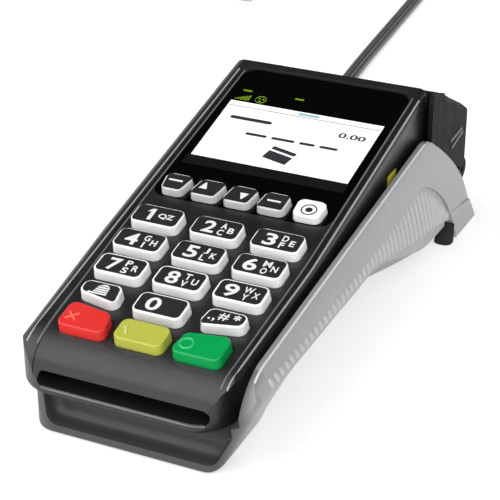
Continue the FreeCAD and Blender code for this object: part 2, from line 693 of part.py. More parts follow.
def finger_recess():
    """Concave recess below the lip, whose right wall leans out with the casing."""
    sill = size("recess_sill")
    rise = 2 * size("lip_bottom_z") - sill
    left = -size("recess_left")
    right = size("recess_right")
    rounding = size("recess_round")
    lean = (size("wing_out_x") - size("base_front_half")) / (size("rail_low_z") - size("casing_bottom"))
    corners = [(left, sill), (right, sill), (right + lean * rise, sill + rise), (left - 2.0, sill + rise)]
    outline = rounded_wire(corners, [rounding + 1.0] + [rounding + 0.2] * 3)
    outline.Placement = Placement(Vector(0, size("recess_deep"), 0), Rotation(Vector(1, 0, 0), 90))
    shape = Part.Face(outline).extrude(Vector(0, -size("recess_deep") - 6, 0))
    rear = [edge for edge in shape.Edges if edge.BoundBox.YMin > size("recess_deep") - 0.1]
    below = block(-60, 60, -10, 20, 0, size("lip_bottom_z") - size("parting_gap"))
    return shape.makeFillet(rounding, rear).common(below)


def above_parting():
    """Everything above the lower casing that belongs to housing, groove and cover."""
    inner = size("groove_inner_x") + size("parting_gap")
    outer = size("groove_inner_x") + size("groove_wide")
    cheek = size("side_rear_half") + size("cover_gap")
    seam = cover_seam()
    gap = size("parting_gap")
    line = [(-10, parting_z(-10) - gap), (seam[0][0], seam[0][1] - gap)]
    rear = [(seam[1][0], seam[1][1] - size("cover_gap"))]
    barrel_clear = size("hinge_z") - size("hinge_barrel") - size("cover_gap")
    tail = [(seam[1][0], barrel_clear), (230, barrel_clear), (230, 90)]
    housing_room = across(line + rear + tail + [(-10, 90)], -60, inner)
    cheek_y = size("cheek_front_y") - size("cover_gap")
    groove = across([(-10, groove_z(-10)), (cheek_y, groove_z(cheek_y)), (cheek_y, 90), (-10, 90)],
                    inner, outer)
    cheek_line = [(cheek_y, groove_z(cheek_y) - 2.0)]
    cheek_room = across(cheek_line + rear + tail + [(cheek_y, 90)], inner, cheek)
    return [housing_room, groove, cheek_room]


def hinge_lugs():
    """Two lugs that carry the cover's hinge pin."""
    radius = size("hinge_barrel") - 0.5
    y = size("hinge_y")
    z = size("hinge_z")
    shapes = []
    for side in (-1, 1):
        x0 = min(side * size("lug_x"), side * (size("lug_x") + size("lug_wide")))
        eye = rod(radius, x0, x0 + size("lug_wide"), y, z)
        web = across([(y - radius, z), (y - radius - 1, 2.0), (size("foot_rear_y") - 0.4, 2.0),
                      (y + 0.5, z - radius + 0.2)], x0, x0 + size("lug_wide"))
        shapes.append(eye.fuse(web))
    return shapes


def lower_casing():
    """Lower casing: foot, hand grip, swipe groove's wing and paper bucket in one moulding."""
    wall = size("casing_wall")
    solid = casing_body(0.0).fuse(rear_foot()).common(casing_side()).common(casing_plan())
    solid = solid.cut(grip_recess())
    rear = size("foot_rear_y")
    room = casing_body(wall)
    room = room.common(block(-60, size("groove_inner_x") - wall, size("recess_deep") + wall + 1.0,
                             rear - wall, 0, 90))
    solid = solid.cut(room).cut(finger_recess())
    floor_top = size("casing_bottom") + wall
    bucket_y = size("roll_y") - size("roll_radius") - 0.7
    bucket_x = size("roll_half") + 0.7
    bulkhead = block(-bucket_x, bucket_x, bucket_y - 1.4, bucket_y, floor_top - 1, 38)
    parts = [bulkhead]
    for side in (-1, 1):
        x0 = bucket_x if side > 0 else -bucket_x - 1.4
        parts.append(block(x0, x0 + 1.4, bucket_y - 1.4, rear - wall + 0.5, floor_top - 1, 13))
    for x, y in screw_places():
        parts.append(post(size("post_radius"), x, y, floor_top - 1, post_top_z(y)))
    solid = solid.multiFuse(parts)
    for cut in above_parting()[1:]:
        solid = solid.cut(cut)
    keep_high = block(-bucket_x, bucket_x, bucket_y - 1.4, bucket_y, 20, 39).fuse(
        Part.makeCompound([post(size("post_radius") + 0.1, x, y, 10, 40) for x, y in screw_places()]))
    solid = solid.cut(above_parting()[0].cut(keep_high))
    reader_low = size("lip_top_z") - 2.3
    reader = size("reader_half") + 0.3
    solid = solid.cut(block(-reader, reader, size("reader_front_y") - 0.3, size("chip_slot_deep") + 3.3,
                            reader_low, 60))
    solid = solid.multiFuse(hinge_lugs())
    solid = solid.cut(rod(size("hinge_pin") + size("pin_gap"), -40, 40, size("hinge_y"), size("hinge_z")))
    low = size("casing_bottom")
    for x, y in screw_places():
        solid = solid.cut(post(size("screw_radius") + 0.3, x, y, -1, post_top_z(y) + 1))
        solid = solid.cut(post(size("screw_head") + 0.4, x, y, -1, low + 5.0))
    for x, y in foot_places():
        solid = solid.cut(post(size("pad_radius") + 0.1, x, y, -1, size("pad_thick")))
    gap = size("fit_gap")
    half = size("door_half") + gap
    front = size("door_front_y") - gap
    solid = solid.cut(block(-half, half, front, front + size("door_long") + 2 * gap, -1, low + 1.2))
    solid = solid.cut(block(-half + 3, half - 3, front + 3, front + size("door_long") - 3, 0, floor_top + 1))
    solid = solid.cut(gland_hole())
    solid = solid.cut(side_pad(size("fit_gap")))
    return feature("lower_casing", solid.removeSplitter())


def foot_places():
    """Places of the rubber feet."""
    return [(-21.0, 20.0), (21.0, 20.0), (-27.0, 176.0), (34.0, 176.0)]


def side_pad(grow=0.0):
    """Black pad in front of the flared rear foot."""
    front = size("foot_front_y")
    return block(pad_inner_x() - grow, size("foot_out_x") - 0.5 + grow, front - size("side_pad_long") - grow,
                 front + grow, 0, size("side_pad_high") + grow)


def rubber_feet():
    """Four round feet and the pad in front of the flared foot."""
    solids = [post(size("pad_radius"), x, y, 0, size("pad_thick") - 0.05) for x, y in foot_places()]
    pad = side_pad()
    upright = [edge for edge in pad.Edges if edge.BoundBox.ZLength > 5 and edge.BoundBox.YMax <
               size("foot_front_y") - 1]
    solids.append(pad.makeFillet(2.6, upright))
    return feature("rubber_feet", Part.makeCompound(solids))


def bottom_door():
    """Door in the bottom, over the sockets."""
    low = size("casing_bottom")
    half = size("door_half")
    front = size("door_front_y")
    plate = block(-half, half, front, front + size("door_long"), low, low + 1.2 - size("fit_gap") / 3)
    lug = block(-3, 3, front - 2.0, front + 2, low + 1.25, low + 2.0)
    hole = post(1.6, 0, front + size("door_long") - 4.5, -1, 9)
    return feature("bottom_door", plate.cut(hole))


def gland_hole():
    """Hole for the cord's gland in the rear wall."""
    x = size("cord_x")
    return block(x - 5.2, x + 5.2, 178, 200, 1.05, 6.35)


def cord_start():
    """Point where the free cord begins, at the end of the strain relief."""
    return Vector(size("cord_x"), size("foot_rear_y") + size("sleeve_long") + 1.5, 3.4)


def cord_gland():
    """Gland in the rear wall, with the cord's tapered strain relief."""
    x = size("cord_x")
    rear = size("foot_rear_y")
    body = block(x - 5.0, x + 5.0, rear - size("casing_wall") - 1.6, rear - 0.1, 1.2, 6.2)
    body = body.fuse(block(x - 6.0, x + 6.0, rear + 0.15, rear + 1.5, 0.6, 6.8))
    body = body.fuse(block(x - 4.6, x + 4.6, rear - 1, rear + 1, 1.4, 6.0))
    start = cord_start()
    wires = []
    for y, half, low, high in ((rear + 1.4, 4.8, 1.0, 6.0), (start.y, 3.7, 1.5, 5.3)):
        wire = rounded_wire([(x - half, low), (x + half, low), (x + half, high), (x - half, high)],
                            [1.4] * 4)
        wire.Placement = Placement(Vector(0, y, 0), Rotation(Vector(1, 0, 0), 90))
        wires.append(wire)
    sleeve = Part.makeLoft(wires, True, True)
    return feature("cord_gland", body.fuse(sleeve))


# Cord

def cord_section(start, direction):
    """Twin outline of the cord, square to its direction."""
    radius = size("strand") / 2
    half = size("strand_pitch") / 2
    waist = math.sqrt(radius * radius - half * half)
    side = Vector(direction.y, -direction.x, 0).normalize()
    up = side.cross(direction).normalize()
    if up.z < 0:
        up = up * -1
    top = start + up * waist
    low = start - up * waist
    right = Part.Arc(low, start + side * (half + radius), top).toShape()
    left = Part.Arc(top, start - side * (half + radius), low).toShape()
    return Part.Wire([right, left])


def cord_route(points, share=0.45):
    """Straight runs with a tangent arc at every point between the ends."""
    edges = []
    last = points[0]
    length = 0.0
    radii = []
    for before, here, after in zip(points, points[1:], points[2:]):
        back = (before - here)
        ahead = (after - here)
        reach = share * min(back.Length, ahead.Length)
        half_turn = (math.pi - back.getAngle(ahead)) / 2
        radius = reach / math.tan(half_turn)
        back.normalize()
        ahead.normalize()
        middle = (back + ahead).normalize()
        sag = radius / math.cos(half_turn) - radius
        start = here + back * reach
        stop = here + ahead * reach
        edges.append(Part.makeLine(last, start))
        edges.append(Part.Arc(start, here + middle * sag, stop).toShape())
        length += (start - last).Length + 2 * half_turn * radius
        radii.append(round(radius, 1))
        last = stop
    edges.append(Part.makeLine(last, points[-1]))
    length += (points[-1] - last).Length
    return Part.Wire(edges), length, radii


def cord_tube(label, points):
    """Twin cord along a route, checked against its section times its length."""
    path, length, radii = cord_route(points)
    direction = (points[1] - points[0]).normalize()
    section = cord_section(points[0], direction)
    area = Part.Face(section).Area
    builder = Part.BRepOffsetAPI.MakePipeShell(path)
    builder.setBiNormalMode(Vector(0, 0, 1))
    builder.add(section)
    builder.build()
    builder.makeSolid()
    tube = builder.shape()
    print(label, "length", round(length, 1), "radii", min(radii), max(radii),
          "volume ratio", round(tube.Volume / (area * length), 4))
    return feature(label, tube)


def coil_points():
    """Corners of the coil: in on the lower layer, up half a turn, out on the upper one."""
    entry = Vector(*CORD_ROUTE[-1])
    heading = (entry - Vector(*CORD_ROUTE[-2])).normalize()
    left = Vector(-heading.y, heading.x, 0)
    outer = size("coil_radius")
    steps = 8
    centre = entry + heading * 20 + left * outer
    pitch = size("strand") + size("strand_pitch") + size("coil_gap")
    lift = size("strand") + 0.5
    turns_in = size("coil_turns") + 0.5
    count_in = int(round(turns_in * steps))
    count_out = int(round(size("coil_turns") * steps))
    points = []
    start_angle = math.atan2(-left.y, -left.x)
    for index in range(count_in + count_out + 1):
        angle = start_angle + 2 * math.pi * (index + 0.5) / steps
        inward = min(index, count_in)
        outward = max(index - count_in, 0)
        radius = outer - pitch * inward / steps + pitch * outward / steps
        rise = blend(index, count_in - steps / 2, count_in, 0.0, lift)
        spread = radius / math.cos(math.pi / steps)
        points.append(Vector(centre.x + spread * math.cos(angle), centre.y + spread * math.sin(angle),
                             entry.z + rise))
    return points


def coil_gap(points):
    """Least distance of the coil's centre line from its other turns."""
    best = 1e9
    for index, here in enumerate(points):
        for other in points[index + 6:]:
            best = min(best, (here - other).Length)
    return best


def cords():
    """Free stretch, coil and plug of the twin cord."""
    start = cord_start()
    first = [start] + [Vector(*point) for point in CORD_ROUTE]
    turns = coil_points()
    entry = first[-1]
    cord_tube("cord_stretch", first)
    exit_way = (turns[-1] - turns[-2]).normalize()
    tail = turns[-1] + exit_way * 16
    tail.z = turns[-1].z - 0.4
    finish = tail + exit_way * 14 + Vector(-exit_way.y, exit_way.x, 0) * -2.0
    finish.z = size("plug_high") / 2
    coil = [entry] + turns[:-1] + [tail, finish]
    cord_tube("cord_coil", coil)
    print("coil centre lines apart", round(coil_gap(turns), 2), "over a strand of", size("strand"))
    way = (finish - tail).normalize()
    angle = math.degrees(math.atan2(way.y, way.x)) - 90
    level = Placement(Vector(finish.x, finish.y, 0), Rotation(Vector(0, 0, 1), angle))
    half = size("plug_wide") / 2
    body = block(-half, half, 6.0, 6.0 + size("plug_long"), 0.1, size("plug_high"))
    for index in range(8):
        x = -half + 1.6 + index * (size("plug_wide") - 3.2) / 7
        body = body.cut(block(x - 0.35, x + 0.35, 6 + size("plug_long") - 4, 8 + size("plug_long"), -1, 1.2))
    wires = []
    for y, wide, low, high in ((0.0, 3.9, 1.6, 6.4), (6.2, half - 0.6, 0.6, size("plug_high") - 0.6)):
        wire = rounded_wire([(-wide, low), (wide, low), (wide, high), (-wide, high)], [1.2] * 4)
        wire.Placement = Placement(Vector(0, y, 0), Rotation(Vector(1, 0, 0), 90))
        wires.append(wire)
    boot = Part.makeLoft(wires, True, True)
    feature("cord_plug", body.fuse(boot), level)


# Keys, window, display and boards

def origin_plane(body, role):
    """Origin plane of a body by its role."""
    return [item for item in body.Origin.OriginFeatures if item.Role == role][0]


def corner_sketch(body, name, corners):
    """Sketch of a four-cornered outline whose corners are held by two sizes each."""
    sketch = body.newObject("Sketcher::SketchObject", name)
    sketch.AttachmentSupport = [(origin_plane(body, "XY_Plane"), "")]
    sketch.MapMode = "FlatFace"
    places = [Vector(x, y, 0) for x, y in ((-5, -4), (5, -4), (5, 4), (-5, 4))]
    for index in range(4):
        sketch.addGeometry(Part.LineSegment(places[index], places[(index + 1) % 4]), False)
    for index in range(4):
        sketch.addConstraint(Sketcher.Constraint("Coincident", index, 2, (index + 1) % 4, 1))
    for index, (across_way, along_way) in enumerate(corners):
        for kind, expression in (("DistanceX", across_way), ("DistanceY", along_way)):
            number = sketch.addConstraint(Sketcher.Constraint(kind, index, 1,
                                                              places[index].x if kind == "DistanceX"
                                                              else places[index].y))
            label = "%s%d" % ("across" if kind == "DistanceX" else "along", index)
            sketch.renameConstraint(number, label)
            sketch.setExpression("Constraints." + label, expression)
    return sketch


def key_expressions(kind):
    """Corner sizes of one kind of key, as formulas on the sheet."""
    wide, deep, _, shifts = KEY_SHAPES[kind]
    half = "Sizes.%s / 2" % wide
    reach = "Sizes.%s / 2" % deep
    corners = [["-" + half, "-" + reach], [half, "-" + reach], [half, reach], ["-" + half, reach]]
    for corner, way, sign, alias in shifts:
        corners[corner][way] += " %s Sizes.%s" % ("+" if sign > 0 else "-", alias)
    return corners


def key(name, kind, u, v):
    """One key: a drafted pad with rounded corners and upper edge."""
    body = doc.addObject("PartDesign::Body", name)
    body.Label = name
    sketch = corner_sketch(body, name + "_outline", key_expressions(kind))
    high = KEY_SHAPES[kind][2]
    sketch.setExpression(".AttachmentOffset.Base.z", "Sizes." + high)
    pad = body.newObject("PartDesign::Pad", name + "_pad")
    pad.Profile = sketch
    pad.Reversed = True
    pad.setExpression("Length", "Sizes.%s + Sizes.key_skirt" % high)
    pad.setExpression("TaperAngle", "Sizes.key_draft")
    doc.recompute()
    upright = ["Edge%d" % (index + 1) for index, edge in enumerate(pad.Shape.Edges)
               if edge.BoundBox.ZLength > 1]
    corners = body.newObject("PartDesign::Fillet", name + "_corners")
    corners.Base = (pad, upright)
    corners.setExpression("Radius", "Sizes.key_round")
    doc.recompute()
    top = ["Edge%d" % (index + 1) for index, edge in enumerate(corners.Shape.Edges)
           if edge.BoundBox.ZMin > size(high) - 0.01]
    rim = body.newObject("PartDesign::Fillet", name + "_rim")
    rim.Base = (corners, top)
    rim.setExpression("Radius", "Sizes.key_edge")
    body.Tip = rim
    body.Placement = deck_frame().multiply(Placement(Vector(u, v, 0), Rotation()))
    return keep(body)


def display_window():
    """Glossy window over the display and round the function keys."""
    corners = rectangle(size("window_half"), size("window_low_v"), size("window_top_v"))
    plate = rounded_slab(corners, size("window_round"), -size("window_thick"), -size("deck_inset"))
    return feature("display_window", plate.cut(Part.makeCompound(key_openings())), deck_frame())


def deck_plate(label, half, low, high, top, thick, holes=()):
    """Level plate in the deck's frame with optional holes."""
    plate = block(-half, half, low, high, top - thick, top)
    for hole in holes:
        plate = plate.cut(hole)
    return feature(label, plate, deck_frame())


def boss_holes(radius):
    """Holes for the screw bosses, in the deck's frame."""
    inverse = deck_frame().inverse()
    holes = []
    for x, y in screw_places():
        hole = post(radius, x, y, 0, 90)
        hole.Placement = inverse.multiply(hole.Placement)
        holes.append(hole)
    return holes


def mat_top():
    """Height of the key mat's upper side in the deck's frame."""
    return -size("key_skirt") - size("key_travel") - 0.3


def board_top():
    """Height of the main board's upper side in the deck's frame."""
    return min(mat_top() - size("mat_thick"), -size("window_thick") - size("display_thick") - 0.4)


def boards():
    """Key mat, main board and what sits on them."""
    low = size("board_low_v") - 6
    mat_high = size("window_low_v") + 14
    mat = block(-size("mat_half"), size("mat_half"), low, mat_high, board_top(), board_top() +
                size("mat_thick"))
    for name, kind, u, v in key_list():
        dome = Part.makeCone(2.6, 1.8, mat_top() - board_top() - size("mat_thick") + 0.02,
                             Vector(u, v, board_top() + size("mat_thick") - 0.01))
        mat = mat.fuse(dome)
    for hole in boss_holes(size("boss_radius") + 0.4):
        mat = mat.cut(hole)
    feature("key_mat", mat, deck_frame())
    deck_plate("main_board", size("board_half"), low, size("board_top_v"), board_top(),
               size("board_thick"), boss_holes(size("boss_radius") + 0.4))
    top = -size("window_thick") - size("fit_gap") - 0.05
    deck_plate("display_module", size("display_half"), size("display_low_v"), size("display_top_v"),
               top, size("display_thick"))
    under = board_top() - size("board_thick")
    cell = Part.makeCylinder(6.0, 3.0, Vector(-16, 118, under - 3.0))
    feature("backup_cell", cell, deck_frame())
    buzzer = Part.makeCylinder(4.5, 3.2, Vector(18, 96, under - 3.2)).cut(
        Part.makeCylinder(0.9, 3.0, Vector(18, 96, under - 4.2)))
    feature("buzzer", buzzer, deck_frame())
    loop_half = size("window_half") + 0.2
    ring_low = size("display_low_v") - 3
    ring_high = size("display_top_v") + 7.0
    ring = block(-loop_half, loop_half, ring_low, ring_high, -size("deck_thick") - 0.5,
                 -size("deck_thick") - 0.05)
    inner = size("display_half") + 0.4
    ring = ring.cut(block(-inner, inner, size("display_low_v") - 0.4, size("display_top_v") + 0.4, -9, 0))
    for hole in boss_holes(size("boss_radius") + 0.4):
        ring = ring.cut(hole)
    feature("antenna_loop", ring, deck_frame())


# Card readers

def chip_reader():
    """Chip card reader behind the slot, with its contact blades."""
    half = size("reader_half")
    front = size("reader_front_y")
    low = size("lip_top_z") - 2.0
    body = block(-half, half, front, size("chip_slot_deep") + 3, low, low + size("reader_high"))
    slot_half = size("chip_slot_wide") / 2
    slot_low = size("lip_top_z")
    slot_top = slot_low + size("chip_slot_high")
    body = body.cut(block(-slot_half, slot_half, -1, size("chip_slot_deep"), slot_low, slot_top))
    blades = []
    long = size("blade_long")
    for row_y in (size("blade_row_y"), size("blade_row_y") + long + 1.4):
        body = body.cut(block(-7.2, 7.2, row_y - 0.3, row_y + long + 0.3, slot_top - 0.5,
                              low + size("reader_high") + 1))
        for column in range(4):
            x = (column - 1.5) * size("blade_pitch")
            blades.append(block(x - 0.7, x + 0.7, row_y, row_y + long, slot_top + 0.3, slot_top + 0.7))
    feature("chip_card_reader", body)
    feature("chip_contacts", Part.makeCompound(blades))


def magnetic_head():
    """Magnetic read head in the inner wall of the groove, and its leaf spring."""
    face = size("groove_inner_x") + size("head_proud")
    y = size("head_y")
    z = groove_z(y) + size("head_high")
    half_y = size("head_long") / 2
    half_z = size("head_high") / 2
    body = block(face - size("head_deep"), face, y - half_y, y + half_y, z - half_z, z + half_z)
    radius = size("head_long") * 1.3
    barrel = Part.makeCylinder(radius, size("head_high") + 2, Vector(face - radius, y, z - half_z - 1))
    feature("magnetic_head", body.common(barrel))
    back = face - size("head_deep") - size("head_proud") - 0.3
    leaf = block(back - 0.3, back, y - half_y - 4, y + half_y + 4, z - 2.5, z + 2.5)
    foot = size("groove_inner_x") - size("housing_wall") - size("fit_gap")
    for end in (-1, 1):
        y0 = y + end * (half_y + 3) - 1
        leaf = leaf.fuse(block(back - 0.3, foot, y0, y0 + 2, z - 2.5, z + 2.5))
    feature("head_spring", leaf)


# Printer

def gear_outline(teeth, phase):
    """Involute outline of a gear, as points round its axis."""
    module = size("gear_module")
    pitch = module * teeth / 2
    base = pitch * math.cos(math.radians(20))
    tip = pitch + module * 0.9
    root = pitch - module * 1.15
    slack = size("gear_slack") / 2 / pitch

    def spread(radius):
        """Involute angle at a radius."""
        turn = math.acos(min(base / radius, 1.0))
        return math.tan(turn) - turn

    half_tooth = math.pi / (2 * teeth) + spread(pitch) - slack
    radii = [max(base, root), (max(base, root) + tip) / 2, tip]
    points = []
    for tooth in range(teeth):
        centre = phase + 2 * math.pi * tooth / teeth
        flank = [(root, -half_tooth)] + [(r, -half_tooth + spread(r)) for r in radii]
        flank = flank + [(r, -angle) for r, angle in reversed(flank)]
        points += [(r * math.cos(centre + angle), r * math.sin(centre + angle)) for r, angle in flank]
    return points


def gear(label, teeth, y, z, phase, bore, hub=0.0):
    """Gear on an axis along X."""
    x = gear_x()
    points = [(y + a, z + b) for a, b in gear_outline(teeth, phase)]
    body = across(points, x, x + size("gear_wide"))
    body = body.cut(rod(bore, x - 1, x + size("gear_wide") + 1, y, z))
    return feature(label, body)


def gear_places():
    """Axes of the drive gear and the motor gear."""
    module = size("gear_module")
    first = module * (GEAR_TEETH["platen"] + GEAR_TEETH["drive"]) / 2
    second = module * (GEAR_TEETH["drive"] + GEAR_TEETH["motor"]) / 2
    reach = math.atan2(size("platen_z") - size("hinge_z"), size("hinge_y") - size("platen_y"))
    away = reach + math.pi / 2
    drive = (size("platen_y") - first * math.sin(reach), size("platen_z") - first * math.cos(reach))
    down = math.radians(size("motor_angle"))
    motor = (drive[0] + second * math.cos(down), drive[1] + second * math.sin(down))
    return drive, motor


def mesh_phase(teeth, towards, other_teeth, other_phase):
    """Phase of a gear whose gap faces a tooth of the one it meshes with."""
    back = towards + math.pi
    offset = (back - other_phase) * other_teeth / (2 * math.pi)
    share = offset - math.floor(offset)
    return towards + (share + 0.5) * 2 * math.pi / teeth * 1.0


def bracket_x():
    """Inner side of the platen bearings."""
    return size("roll_half") + size("roll_side_gap")


def frame_half():
    """Half width of the printer frame."""
    return size("roll_half") + size("frame_side_gap")


def gear_x():
    """Inner face of the printer gears."""
    return frame_half() + size("gear_side_gap")


def printer():
    """Platen, gears, motor, thermal head and frame of the receipt printer."""
    y = size("platen_y")
    z = size("platen_z")
    half = (size("roll_half") - 0.3)
    rubber = rod(size("platen_radius"), -half, half, y, z)
    gear_end = gear_x() + size("gear_wide")
    shaft = rod(size("shaft_radius"), -bracket_x() - size("bracket_wide"), gear_end, y, z)
    feature("platen_roller", rubber.fuse(shaft))
    drive, motor = gear_places()
    gear("platen_gear", GEAR_TEETH["platen"], y, z, 0.0, size("shaft_radius"))
    to_platen = math.atan2(z - drive[1], y - drive[0])
    drive_phase = mesh_phase(GEAR_TEETH["drive"], to_platen, GEAR_TEETH["platen"], 0.0)
    gear("drive_gear", GEAR_TEETH["drive"], drive[0], drive[1], drive_phase, 1.3 + size("pin_gap"))
    to_drive = math.atan2(drive[1] - motor[1], drive[0] - motor[0])
    motor_phase = mesh_phase(GEAR_TEETH["motor"], to_drive, GEAR_TEETH["drive"], drive_phase)
    gear("motor_gear", GEAR_TEETH["motor"], motor[0], motor[1], motor_phase, 0.8)
    inner = frame_half() - size("frame_plate")
    body = rod(size("motor_radius"), inner - size("motor_long") - 0.1, inner - 0.1, motor[0], motor[1])
    body = body.fuse(rod(0.8, inner - 1, gear_end, motor[0], motor[1]))
    feature("printer_motor", body)
    bulk = size("roll_y") - size("roll_radius") - 2.4
    front = motor[0] - size("motor_radius") - 0.5
    top = deck_z(front) + (board_top() - size("board_thick")) / math.cos(math.radians(size("deck_tilt"))) - 0.6
    rear = y - size("platen_radius") - 3.2
    head_low = z - 5.5
    head_top = z + 5.0
    outline = [(front, motor[1] - 7), (bulk, motor[1] - 7), (bulk, 38.6), (rear, 38.6), (rear, head_top),
               (bulk + 0.5, head_top), (bulk + 0.5, top + 1.5), (front, top)]
    plates = across(outline, inner, frame_half()).fuse(
        across(outline, -frame_half(), -inner))
    cross = block(-inner - 0.1, inner + 0.1, rear - 1.6, rear, 38.6, head_top)
    frame = plates.fuse(cross).fuse(rod(1.3, inner, gear_end, drive[0], drive[1]))
    frame = frame.cut(rod(0.8 + 0.3, inner - 1, frame_half() + 0.1, motor[0], motor[1]))
    feature("printer_frame", frame)
    head = block(-27.5, 27.5, rear + 0.1, y - size("platen_radius") - 0.35, head_low, head_top)
    feature("thermal_head", head)
    roll_z = size("casing_bottom") + size("casing_wall") + 0.2 + size("roll_radius")
    roll = rod(size("roll_radius"), -size("roll_half"), size("roll_half"), size("roll_y"), roll_z)
    roll = roll.cut(rod(size("roll_core"), -40, 40, size("roll_y"), roll_z))
    feature("paper_roll", roll)


# Paper cover

def cover_outline(inset):
    """Side view of the cover, moved inwards by a wall."""
    front = size("rim_rear_y") + size("paper_gap")
    rear = size("cover_rear_y") - inset
    top = size("cover_top_z") - inset
    nose = size("cover_front_z") - inset
    first = Vector(0, front, nose)
    last = Vector(0, rear - 2.6, top + 1.0)
    crown = Part.Arc(first, (first + last) * 0.5 + Vector(0, 0.4, size("cover_crown")), last).toShape()
    corner = Vector(0, rear, top - 2.6)
    shoulder = curved([last, last + Vector(0, 1.5, -0.85), corner + Vector(0, -0.1, 1.3), corner])
    barrel_rear = Vector(0, size("hinge_y") + size("hinge_barrel") - inset, size("hinge_z"))
    wall = curved([corner, corner - Vector(0, 0, 6), barrel_rear + Vector(0, 0, 6), barrel_rear])
    return first, [crown, shoulder, wall], barrel_rear


def cover_rounding(first):
    """Body with the cover's rounded upper edges and rounded rear corners."""
    half = size("side_rear_half")
    radius = size("cover_round")
    fall = size("cover_front_z") - size("cover_top_z")
    long = size("cover_rear_y") - first.y
    angle = -math.degrees(math.atan2(fall, long))
    corners = [(-half, -80.0), (half, -80.0), (half, size("cover_crown")), (-half, size("cover_crown"))]
    wire = rounded_wire(corners, [1.0, 1.0, radius, radius])
    wire.Placement = Placement(Vector(0, -20, 0), Rotation(Vector(1, 0, 0), 90))
    along = Part.Face(wire).extrude(Vector(0, 90, 0))
    along.Placement = Placement(first, Rotation(Vector(1, 0, 0), angle))
    rear = size("cover_rear_y")
    plan = [(-half, 100.0), (half, 100.0), (half, rear + 0.01), (-half, rear + 0.01)]
    upright = Part.Face(rounded_wire(plan, [1.0, 1.0, radius * 0.7, radius * 0.7]))
    return along.common(upright.extrude(Vector(0, 0, 90)))


def paper_cover():
    """Cover of the paper bucket, with its hinge barrel and the rear of the swipe groove."""
    first, edges, barrel_rear = cover_outline(0.0)
    seam = cover_seam()
    low_rear = Vector(0, seam[1][0] + 0.6, seam[1][1])
    low_front = Vector(0, first.y, parting_z(first.y))
    axis = Vector(0, size("hinge_y"), size("hinge_z"))
    outline = Part.Wire(edges + [Part.makeLine(barrel_rear, axis), Part.makeLine(axis, low_rear),
                                 Part.makeLine(low_rear, low_front), Part.makeLine(low_front, first)])
    half = size("side_rear_half")
    face = Part.Face(outline)
    face.translate(Vector(-half, 0, 0))
    body = face.extrude(Vector(2 * half, 0, 0))
    body = body.common(cover_rounding(first))
    solid = body
    first_in, edges_in, barrel_in = cover_outline(size("cover_wall"))
    inner_low = Vector(0, barrel_in.y, size("hinge_z") - 12)
    low_left = Vector(0, first.y - 1, size("hinge_z") - 12)
    high_left = Vector(0, first.y - 1, first_in.z + 0.3)
    room = Part.Face(Part.Wire(edges_in + [Part.makeLine(barrel_in, inner_low),
                                           Part.makeLine(inner_low, low_left),
                                           Part.makeLine(low_left, high_left),
                                           Part.makeLine(high_left, first_in)]))
    wall = size("cover_wall")
    room.translate(Vector(-half + wall, 0, 0))
    body = body.cut(room.extrude(Vector(half - wall + size("groove_inner_x") - wall, 0, 0)))
    barrel = rod(size("hinge_barrel"), -half, half, size("hinge_y"), size("hinge_z"))
    body = body.fuse(barrel)
    slot = []
    for x0, x1, lift in ((size("groove_inner_x"), size("groove_inner_x") + size("groove_wide"), 0.0),):
        points = [(140, groove_z(140) - 0.4), (199, groove_z(199) - 0.4), (199, 90), (140, 90)]
        slot.append(across(points, x0, x1))
    body = body.cut(slot[0])
    cheek = [(size("cheek_front_y"), groove_z(size("cheek_front_y")) - 1.5), (first.y + 6, groove_z(first.y)
             - 1.5), (first.y + 6, first.z - 2.2), (first.y, first.z), (size("cheek_front_y") + 1.2,
             size("cover_front_z") + 0.6), (size("cheek_front_y"), size("cover_front_z") - 1.5)]
    outer = size("groove_inner_x") + size("groove_wide")
    body = body.fuse(across(cheek, outer, half - 0.05))
    for side in (-1, 1):
        x0 = bracket_x() if side > 0 else -bracket_x() - size("bracket_wide")
        y = size("platen_y")
        z = size("platen_z")
        arm = across([(y - 2.6, z), (y - 2.6, z + 14), (y + 5, z + 14), (y + 2.6, z)], x0,
                     x0 + size("bracket_wide"))
        eye = rod(2.6, x0, x0 + size("bracket_wide"), y, z)
        body = body.fuse(arm.common(solid)).fuse(eye)
    body = body.cut(rod(size("shaft_radius") + size("pin_gap"), -32, 32, size("platen_y"), size("platen_z")))
    gap = size("cover_gap")
    for side in (-1, 1):
        x0 = min(side * size("lug_x"), side * (size("lug_x") + size("lug_wide"))) - gap
        x1 = x0 + size("lug_wide") + 2 * gap
        clear = size("hinge_barrel") + gap
        body = body.cut(rod(clear, x0, x1, size("hinge_y"), size("hinge_z")))
    body = body.cut(rod(size("hinge_pin") + size("pin_gap"), -60, 60, size("hinge_y"), size("hinge_z")))
    return feature("paper_cover", body.removeSplitter())


def hinge_pin():
    """Pin through the lugs and the cover's barrel."""
    half = size("side_rear_half") - 1.0
    pin = doc.addObject("Part::Cylinder", "cover_hinge_pin")
    pin.Label = "cover_hinge_pin"
    pin.setExpression("Radius", "Sizes.hinge_pin")
    pin.setExpression("Height", "2 * Sizes.side_rear_half - 2")
    pin.Placement = Placement(Vector(-half, size("hinge_y"), size("hinge_z")),
                              Rotation(Vector(0, 1, 0), 90))
    return keep(pin)


def tear_bar():
    """Serrated bar on the housing's rear edge."""
    half = (size("roll_half") - 0.3)
    y = size("rim_rear_y") + 0.05
    top = deck_z(size("rim_rear_y")) - 1.6
    count = 28
    step = 2 * half / count
    points = [(-half, top - 3.2)]
    points += [(half, top - 3.2)]
    for index in range(count):
        points.append((half - index * step, top - 0.8))
        points.append((half - (index + 0.5) * step, top))
    points.append((-half, top - 0.8))
    outline = Part.makePolygon([Vector(x, y, z) for x, z in points + [points[0]]])
    return feature("tear_bar", Part.Face(outline).extrude(Vector(0, 0.6, 0)))


